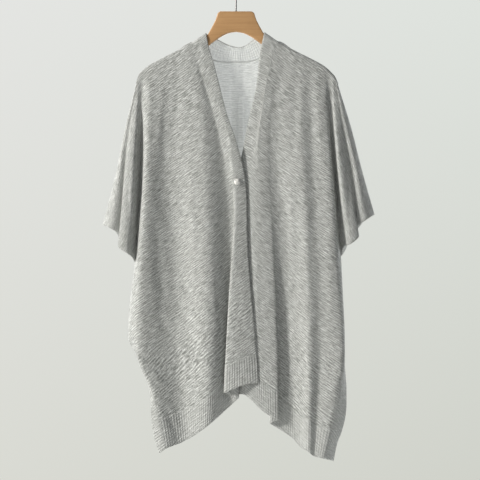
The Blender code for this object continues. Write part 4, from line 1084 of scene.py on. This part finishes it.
def back_panel():
    """The back, from one sleeve's top fold across to the other's."""
    names = [fold.name for fold in BACK_FOLDS]
    corners = names.index("left neck corner"), names.index("right neck corner")
    strands = [sleeve_strand(s, 1) for s in BACK_LEFT_SLEEVE + (LEFT_FOLD_LINE,)][::-1]
    first = len(strands)
    strands.append(edge_strand(down_to_slit(LEFT_SIDE, BACK_LEFT_SLIT), 1, BACK_LEFT_DROPS))
    for k, fold in enumerate(BACK_FOLDS):
        if corners[0] < k < corners[1]:
            top = neck_places(NECK_SEAM, [fold.x_top])[0]
            strands.append(fold_strand(fold, 1, WOOD_TOP - top.z, top.y))
        else:
            strands.append(fold_strand(fold, 1))
    last = len(strands)
    strands.append(edge_strand(down_to_slit(RIGHT_SIDE, BACK_RIGHT_SLIT), 1, BACK_RIGHT_DROPS))
    strands += [sleeve_strand(s, 1) for s in BACK_RIGHT_SLEEVE + (RIGHT_FOLD_LINE,)]
    return Panel(1, strands, first, last, BACK_CREASES, -1, (first + last) / 2,
                 tuple(first + 1 + k for k in corners))


def ribbed(net, node, yarn, along, fade):
    """A band of ribs; along and fade say how far along it and how raised each spot is."""
    band = net.piece(node + "_rib", yarn.ribs.finish, None, along, fade)
    return hand_over(yarn.ribs.cook(band), "rib", node)


def knit_side(panel, name, slits, yarn):
    """Every piece of one side: its plain knit, its bands, and the stitching along them.

    Slits names the band of each slit, by whether it is at the panel's last or first side seam.
    """
    stations, levels = panel.stations(), levels_down()
    body = net_of(panel, levels, stations)
    top_of_slit = levels.index(SLIT)
    after_slit = panel.first + 1 if "first" in slits else panel.first
    until_slit = panel.last - 1

    def owned(r, c):
        return r < top_of_slit or after_slit <= stations[c] < until_slit

    cloth = hand_over(body.piece(name + "_knit", yarn.knit, owned), "knit", name)

    columns = even_stations(panel, HEM_MIDDLE, after_slit, until_slit)
    hem = net_of(panel, spread(HEM_SEAM, 1.0, HEM_ROWS), columns)
    others = [ribbed(hem, "hem_" + name, yarn, lambda r, c: c * RIB_CELL,
                     lambda r, c: smooth_step(0, 1, r))]
    steps = range(0, len(columns), STITCH_CELLS)
    edges = [hem.line([(HEM_ROWS, c) for c in steps])]
    seams = [hem.line([(0, c) for c in steps])]

    sides = {"last": (until_slit, panel.last), "first": (after_slit, panel.first)}
    for place, slit_name in slits.items():
        inner, outer = sides[place]
        down = [panel.strands[outer](level) for level in spread(SLIT, 1.0, SLIT_STEPS)]
        rows = spread(SLIT, 1.0, round(lengths_along(down)[-1] / RIB_CELL))
        across = sorted(spread(inner, outer, BAND_CELLS))
        slit = net_of(panel, rows, across)
        free = across.index(outer)
        sewn = BAND_CELLS - free
        others.append(ribbed(slit, slit_name, yarn, lambda r, c: r * RIB_CELL,
                             lambda r, c: smooth_step(0, 1, abs(c - sewn))))
        steps = range(0, len(rows), STITCH_CELLS)
        edges.append(slit.line([(r, free) for r in steps]))
        seams.append(slit.line([(r, sewn) for r in steps]))

    cuff_row, width = levels.index(UNDERARM), len(stations)
    last_body = max(c for c in range(width) if stations[c] <= panel.last)
    first_body = min(c for c in range(width) if stations[c] >= panel.first)
    edges.append(body.line([(cuff_row, c) for c in range(last_body, width)]))
    if panel.first:
        edges.append(body.line([(cuff_row, c) for c in range(first_body + 1)]))
    else:
        edges.append(body.line([(r, 0) for r in range(len(levels))]))
    chain = stitch_line(name + "_stitches", edges + seams)
    others.append(hand_over(yarn.stitches.cook(chain), "knit"))
    return cloth, others


def stitch_line(name, lines):
    """A mesh of bare edges for the stitch recipe to follow."""
    verts, links, outward = [], [], []
    for line in lines:
        start = len(verts)
        verts += [place * MM for place, _ in line]
        outward += [normal for _, normal in line]
        links += [(k, k + 1) for k in range(start, len(verts) - 1)]
    mesh = bpy.data.meshes.new(name)
    mesh.from_pydata(verts, links, [])
    attribute = mesh.attributes.new("outward", "FLOAT_VECTOR", "POINT")
    attribute.data.foreach_set("vector", [n for v in outward for n in v])
    piece = bpy.data.objects.new(name, mesh)
    bpy.context.scene.collection.objects.link(piece)
    return piece


def neck_band(panel, yarn):
    """The ribbed band round the back neck, between the shoulder seams."""
    low, high = panel.open_neck
    laps = spread(-1.0, 0.0, NECK_LAP_CELLS)[:-1]
    middle = panel.row(0.0, spread(low, high, SAMPLES * (high - low)))
    count = round(lengths_along(middle)[-1] / RIB_CELL)
    seam = [panel.strands[low](n) for n in laps] + evened(middle, count)
    seam += [panel.strands[high](n) for n in reversed(laps)]
    start, end = NECK_EDGE[0], NECK_EDGE[-1]
    edge = neck_places(NECK_EDGE, spread(start.x + NECK_LEAN.x, end.x - NECK_LEAN.x,
                                         NECK_STEPS))
    edge[0] = over_arm(start.x + NECK_LEAN.x, start.drop + NECK_LEAN.drop, 1, 0)
    edge[-1] = over_arm(end.x - NECK_LEAN.x, end.drop + NECK_LEAN.drop, 1, 0)

    def lean(n):
        return NECK_LEAN.x * (n + 1), NECK_LEAN.drop * (n + 1)

    free = [over_arm(start.x + lean(n)[0], start.drop + lean(n)[1], 1, n) for n in laps]
    free += evened(edge, count)
    free += [over_arm(end.x - lean(n)[0], end.drop + lean(n)[1], 1, n) for n in reversed(laps)]
    grid, places = [], []
    for share in spread(0.0, 1.0, BAND_CELLS):
        grid.append([a.lerp(b, share) for a, b in zip(free, seam)])
        places.append([(c * RIB_CELL * MM, share * BAND_HEIGHT) for c in range(len(seam))])
    net = Net(grid, places, panel.turn)
    ribbed(net, "band_neck", yarn, lambda r, c: c * RIB_CELL,
           lambda r, c: smooth_step(0, 1, BAND_CELLS - r))
    steps = range(0, len(seam), STITCH_CELLS)
    chain = stitch_line("band_neck_stitches", [net.line([(0, c) for c in steps]),
                                               net.line([(BAND_CELLS, c) for c in steps])])
    hand_over(yarn.stitches.cook(chain), "knit")


# --- Button, hanger and hook ------------------------------------------------------------------
def add_button(panel, finish):
    """A pearl dome beside the left front's free edge."""
    share = BUTTON_IN / through(STATIONS, LEFT_EDGING, BUTTON_LEVEL)
    edge, inside = panel.strands[0](BUTTON_LEVEL), panel.strands[1](BUTTON_LEVEL)
    below = panel.strands[0](BUTTON_LEVEL + LEVEL_STEP) - edge
    outward = (inside - edge).cross(below).normalized()
    if outward.y > 0:
        outward.negate()
    seat = edge.lerp(inside, share) + outward * (WALL / 2 + BUTTON_GAP)
    across = outward.cross(Vector((0.0, 0.0, 1.0))).normalized()
    upward = across.cross(outward)
    verts, faces = [seat], []
    for ring in BUTTON_RINGS:
        for k in range(BUTTON_SIDES):
            turn = math.tau * k / BUTTON_SIDES
            aside = across * math.cos(turn) + upward * math.sin(turn)
            verts.append(seat + outward * (BUTTON_HEIGHT * ring.height)
                         + aside * (BUTTON_RADIUS * ring.out))
    verts.append(seat + outward * BUTTON_HEIGHT)
    top, last = len(verts) - 1, len(verts) - 1 - BUTTON_SIDES
    for k in range(BUTTON_SIDES):
        after = (k + 1) % BUTTON_SIDES
        faces.append((0, 1 + after, 1 + k))
        for low in range(1, last, BUTTON_SIDES):
            high = low + BUTTON_SIDES
            faces.append((low + k, low + after, high + after, high + k))
        faces.append((last + k, last + after, top))
    piece = add_piece("pearl_button", verts, faces, [(0.0, 0.0)] * len(verts), finish)
    face_outwards(piece)
    hand_over(piece, "pearl", "button")


def face_outwards(piece):
    """Turns the faces of a closed piece outwards."""
    shape = bmesh.new()
    shape.from_mesh(piece.data)
    bmesh.ops.recalc_face_normals(shape, faces=shape.faces)
    shape.to_mesh(piece.data)
    shape.free()


def smooth_line(stops, steps):
    """Points of a smooth line through the stops, steps of them to each stretch."""
    places = [Vector((x, drop, 0.0)) for x, drop in stops]
    places = [places[0] * 2 - places[1]] + places + [places[-1] * 2 - places[-2]]
    found = []
    for k in range(1, len(places) - 2):
        found += [bend(*places[k - 1:k + 3], n / steps) for n in range(steps)]
    return [(p.x, p.y) for p in found + [places[-2]]]


def arc(centre, radius, start, end, count):
    """Points of a round stretch, from one angle to another."""
    return [(centre[0] + radius * math.cos(turn), centre[1] + radius * math.sin(turn))
            for turn in spread(start, end, count)]


def half_hanger():
    """Outline of the right half, from the top of the centre line round to its underside."""
    arm = [(p.out, p.drop + WOOD_BELOW_CLOTH) for p in SHOULDER[1:-2]]
    outline = smooth_line(WOOD_BLOCK + tuple(arm), 4)
    outline += arc((TIP_OUT, TIP_DROP), TIP_RADIUS, TIP_START, TIP_END, TIP_STEPS)
    return outline + smooth_line(WOOD_LOWER + WOOD_ARCH, 4)


def add_hanger(finish):
    """The flat wooden hanger: its outline given a thickness and rounded edges."""
    right = half_hanger()
    outline = right + [(-x, drop) for x, drop in reversed(right[:-1])]
    shape = bmesh.new()
    front = [shape.verts.new((x * MM, -WOOD_THICK / 2 * MM, (WOOD_TOP - drop) * MM))
             for x, drop in outline]
    face = shape.faces.new(front)
    grown = bmesh.ops.extrude_face_region(shape, geom=[face])
    moved = [v for v in grown["geom"] if isinstance(v, bmesh.types.BMVert)]
    bmesh.ops.translate(shape, vec=(0.0, WOOD_THICK * MM, 0.0), verts=moved)
    bmesh.ops.recalc_face_normals(shape, faces=shape.faces)
    rim = [e for e in shape.edges if e.verts[0].co.y == e.verts[1].co.y]
    bmesh.ops.bevel(shape, geom=rim, offset=WOOD_ROUND * MM, segments=4, profile=0.5,
                    affect="EDGES")
    bmesh.ops.triangulate(shape, faces=[f for f in shape.faces if len(f.verts) > 4])
    mesh = bpy.data.meshes.new("hanger")
    shape.to_mesh(mesh)
    shape.free()
    mesh.materials.append(finish)
    mesh.shade_smooth()
    mesh.set_sharp_from_angle(angle=WOOD_SOFT)
    piece = bpy.data.objects.new("wooden_hanger", mesh)
    bpy.context.scene.collection.objects.link(piece)
    hand_over(piece, "wood", "hanger")


def hook_path():
    """Middle of the wire: up from the wood, aside, and round over the bearing point."""
    centre = WIRE_RADIUS - HOOK_RADIUS
    turn = (HOOK_RADIUS * math.cos(HOOK_TURN), centre + HOOK_RADIUS * math.sin(HOOK_TURN))
    heading = (-math.sin(HOOK_TURN), math.cos(HOOK_TURN))
    foot = WOOD_TOP - HOOK_SUNK
    knee = foot + STEM
    handles = (0.0, knee + BEND_PULL), (turn[0] - heading[0] * BEND_PULL,
                                        turn[1] - heading[1] * BEND_PULL)
    path = [(0.0, foot), (0.0, (foot + knee) / 2)]
    for t in spread(0.0, 1.0, BEND_STEPS)[:-1]:
        a, b, c, d = (1 - t) ** 3, 3 * t * (1 - t) ** 2, 3 * t * t * (1 - t), t ** 3
        path.append((c * handles[1][0] + d * turn[0],
                     a * knee + b * handles[0][1] + c * handles[1][1] + d * turn[1]))
    return path + arc((0.0, centre), HOOK_RADIUS, HOOK_TURN, HOOK_END, HOOK_STEPS)


def add_hook(finish):
    """The wire hook that holds the hanger up."""
    curve = bpy.data.curves.new("hook", "CURVE")
    curve.dimensions = "3D"
    curve.bevel_depth = WIRE_RADIUS * MM
    curve.bevel_resolution = 4
    curve.use_fill_caps = True
    path = hook_path()
    spline = curve.splines.new("POLY")
    spline.points.add(len(path) - 1)
    for knot, (x, z) in zip(spline.points, path):
        knot.co = (x * MM, 0.0, z * MM, 1.0)
    curve.materials.append(finish)
    piece = bpy.data.objects.new("wire_hook", curve)
    bpy.context.scene.collection.objects.link(piece)
    hand_over(settled(piece), "wire", "hook")


# --- Studio, in metres ------------------------------------------------------------------------
FLOOR_LEVEL, FLOOR_FADE, FLOOR_RADIUS = -1.7, 2.5, 4.5
FLOOR_COLOUR = colour(0.7, 0.7, 0.68)
ROOM_POWER, WALL_POWER = 0.24, 2.3   # of the light from the viewer's side and from the wall's
KEY_PLACE, KEY_SIZE, KEY_POWER, KEY_TINT = (-3.4, -1.8, 0.8), 0.8, 205.0, (1.0, 0.98, 0.95)
# The wall's colour at its corners: a painted light falloff, lighter at the top left and darker at
# the lower right.
WALL_TOP_LEFT, WALL_TOP_RIGHT = colour(0.775, 0.783, 0.761), colour(0.737, 0.768, 0.731)
WALL_LOW_LEFT, WALL_LOW_RIGHT = colour(0.694, 0.701, 0.651), colour(0.631, 0.645, 0.592)
ROOM_LIGHT = colour(0.95, 0.97, 1.0)
VIEW_DISTANCE, VIEW_SPAN = 4.0, 1.008
LOOK_AT = (0.0084, 0.0, -0.555)
FILM_WIDTH = 36.0          # in millimetres


def add_world():
    """A pale wall far behind everything, with a painted light falloff from its top left to its
    lower right, and an even light from the room.
    """
    world = bpy.data.worlds.new("room")
    bpy.context.scene.world = world
    world.use_nodes = True
    tree = Tree(world.node_tree)
    world.node_tree.nodes.clear()
    across, away, up = tree.parts(tree.node("ShaderNodeTexCoord"))
    half = VIEW_SPAN / 2 / VIEW_DISTANCE
    right = tree.node("ShaderNodeMapRange", {"clamp": True}, {0: across, 1: -half, 2: half})
    top = tree.node("ShaderNodeMapRange", {"clamp": True}, {0: up, 1: -half, 2: half})
    # painted light falloff: the wall lighter at the top left, darker at the lower right
    wall = tree.blend(tree.blend(WALL_LOW_LEFT, WALL_LOW_RIGHT, right),
                      tree.blend(WALL_TOP_LEFT, WALL_TOP_RIGHT, right), top)
    seen = tree.node("ShaderNodeBackground", {}, {"Color": wall, "Strength": 1.0})
    behind = tree.node("ShaderNodeMapRange", {"clamp": True},
                       {0: away, 1: 0.0, 2: 0.5, 3: ROOM_POWER, 4: WALL_POWER})
    lit = tree.node("ShaderNodeBackground", {}, {"Color": ROOM_LIGHT, "Strength": behind})
    both = tree.node("ShaderNodeMixShader", {},
                     {0: tree.node("ShaderNodeLightPath"), 1: lit, 2: seen})
    leave = world.node_tree.nodes.new("ShaderNodeOutputWorld")
    world.node_tree.links.new(both.socket, leave.inputs[0])


def add_floor():
    """A round pale floor that fades out towards its rim."""
    finish = Finish("pale floor", Base_Color=FLOOR_COLOUR, Roughness=0.8)
    level = finish.node("ShaderNodeMapping", {}, {"Vector": finish.on_object(),
                                                 "Location": (0.0, 0.0, -FLOOR_LEVEL)})
    away = finish.node("ShaderNodeVectorMath", {"operation": "LENGTH"}, {0: level}, 1)
    finish.feed("Alpha", finish.node("ShaderNodeMapRange", {"clamp": True},
                                     {0: away, 1: FLOOR_FADE, 2: FLOOR_RADIUS, 3: 1.0, 4: 0.0}))
    shape = bmesh.new()
    bmesh.ops.create_circle(shape, cap_ends=True, segments=96, radius=FLOOR_RADIUS)
    bmesh.ops.translate(shape, vec=(0.0, 0.0, FLOOR_LEVEL), verts=shape.verts)
    mesh = bpy.data.meshes.new("floor")
    shape.to_mesh(mesh)
    shape.free()
    mesh.materials.append(finish.material)
    floor = bpy.data.objects.new("floor", mesh)
    bpy.context.scene.collection.objects.link(floor)


def add_key_light():
    """A soft lamp from the upper left."""
    lamp = bpy.data.lights.new("key", "AREA")
    lamp.shape = "DISK"
    lamp.size = KEY_SIZE
    lamp.energy = KEY_POWER
    lamp.color = KEY_TINT
    light = bpy.data.objects.new("key", lamp)
    light.location = KEY_PLACE
    light.rotation_euler = (Vector(LOOK_AT) - light.location).to_track_quat("-Z", "Y").to_euler()
    bpy.context.scene.collection.objects.link(light)


def add_camera():
    """Looks straight at the middle of the fronts."""
    data = bpy.data.cameras.new("camera")
    data.sensor_width = FILM_WIDTH
    data.lens = data.sensor_width * VIEW_DISTANCE / VIEW_SPAN
    camera = bpy.data.objects.new("camera", data)
    camera.location = (LOOK_AT[0], -VIEW_DISTANCE, LOOK_AT[2])
    camera.rotation_euler = (math.pi / 2, 0.0, 0.0)
    bpy.context.scene.collection.objects.link(camera)
    bpy.context.scene.camera = camera


# --- The whole --------------------------------------------------------------------------------
Yarn = namedtuple("Yarn", "knit ribs stitches")


def yarn_for(name, sheerness):
    """What the pieces of one side are made of: plain knit, ribs and stitching."""
    knit = knit_finish(name + " knit", stockinette, KNIT_CONTRAST, sheerness)
    rib = knit_finish(name + " rib", smooth_yarn, RIB_CONTRAST, sheerness)
    return Yarn(knit, rib_recipe(rib), stitch_recipe(knit))


def main():
    yarn = yarn_for("heather", FRONT_SHEERNESS)
    back_yarn = yarn_for("sheer heather", BACK_SHEERNESS)
    left, right, back = front_panel(LEFT_FRONT), front_panel(RIGHT_FRONT), back_panel()
    left_pieces = knit_side(left, "front_left", {"last": "slit_front_left"}, yarn)
    right_pieces = knit_side(right, "front_right", {"last": "slit_front_right"}, yarn)
    back_slits = {"last": "slit_back_right", "first": "slit_back_left"}
    back_pieces = knit_side(back, "back", back_slits, back_yarn)
    neck_band(back, back_yarn)
    add_button(left, pearl_finish())
    add_hanger(wood_finish())
    add_hook(wire_finish())
    add_floor()
    add_world()
    add_key_light()
    add_camera()
    bpy.context.scene.view_settings.view_transform = "Standard"


main()
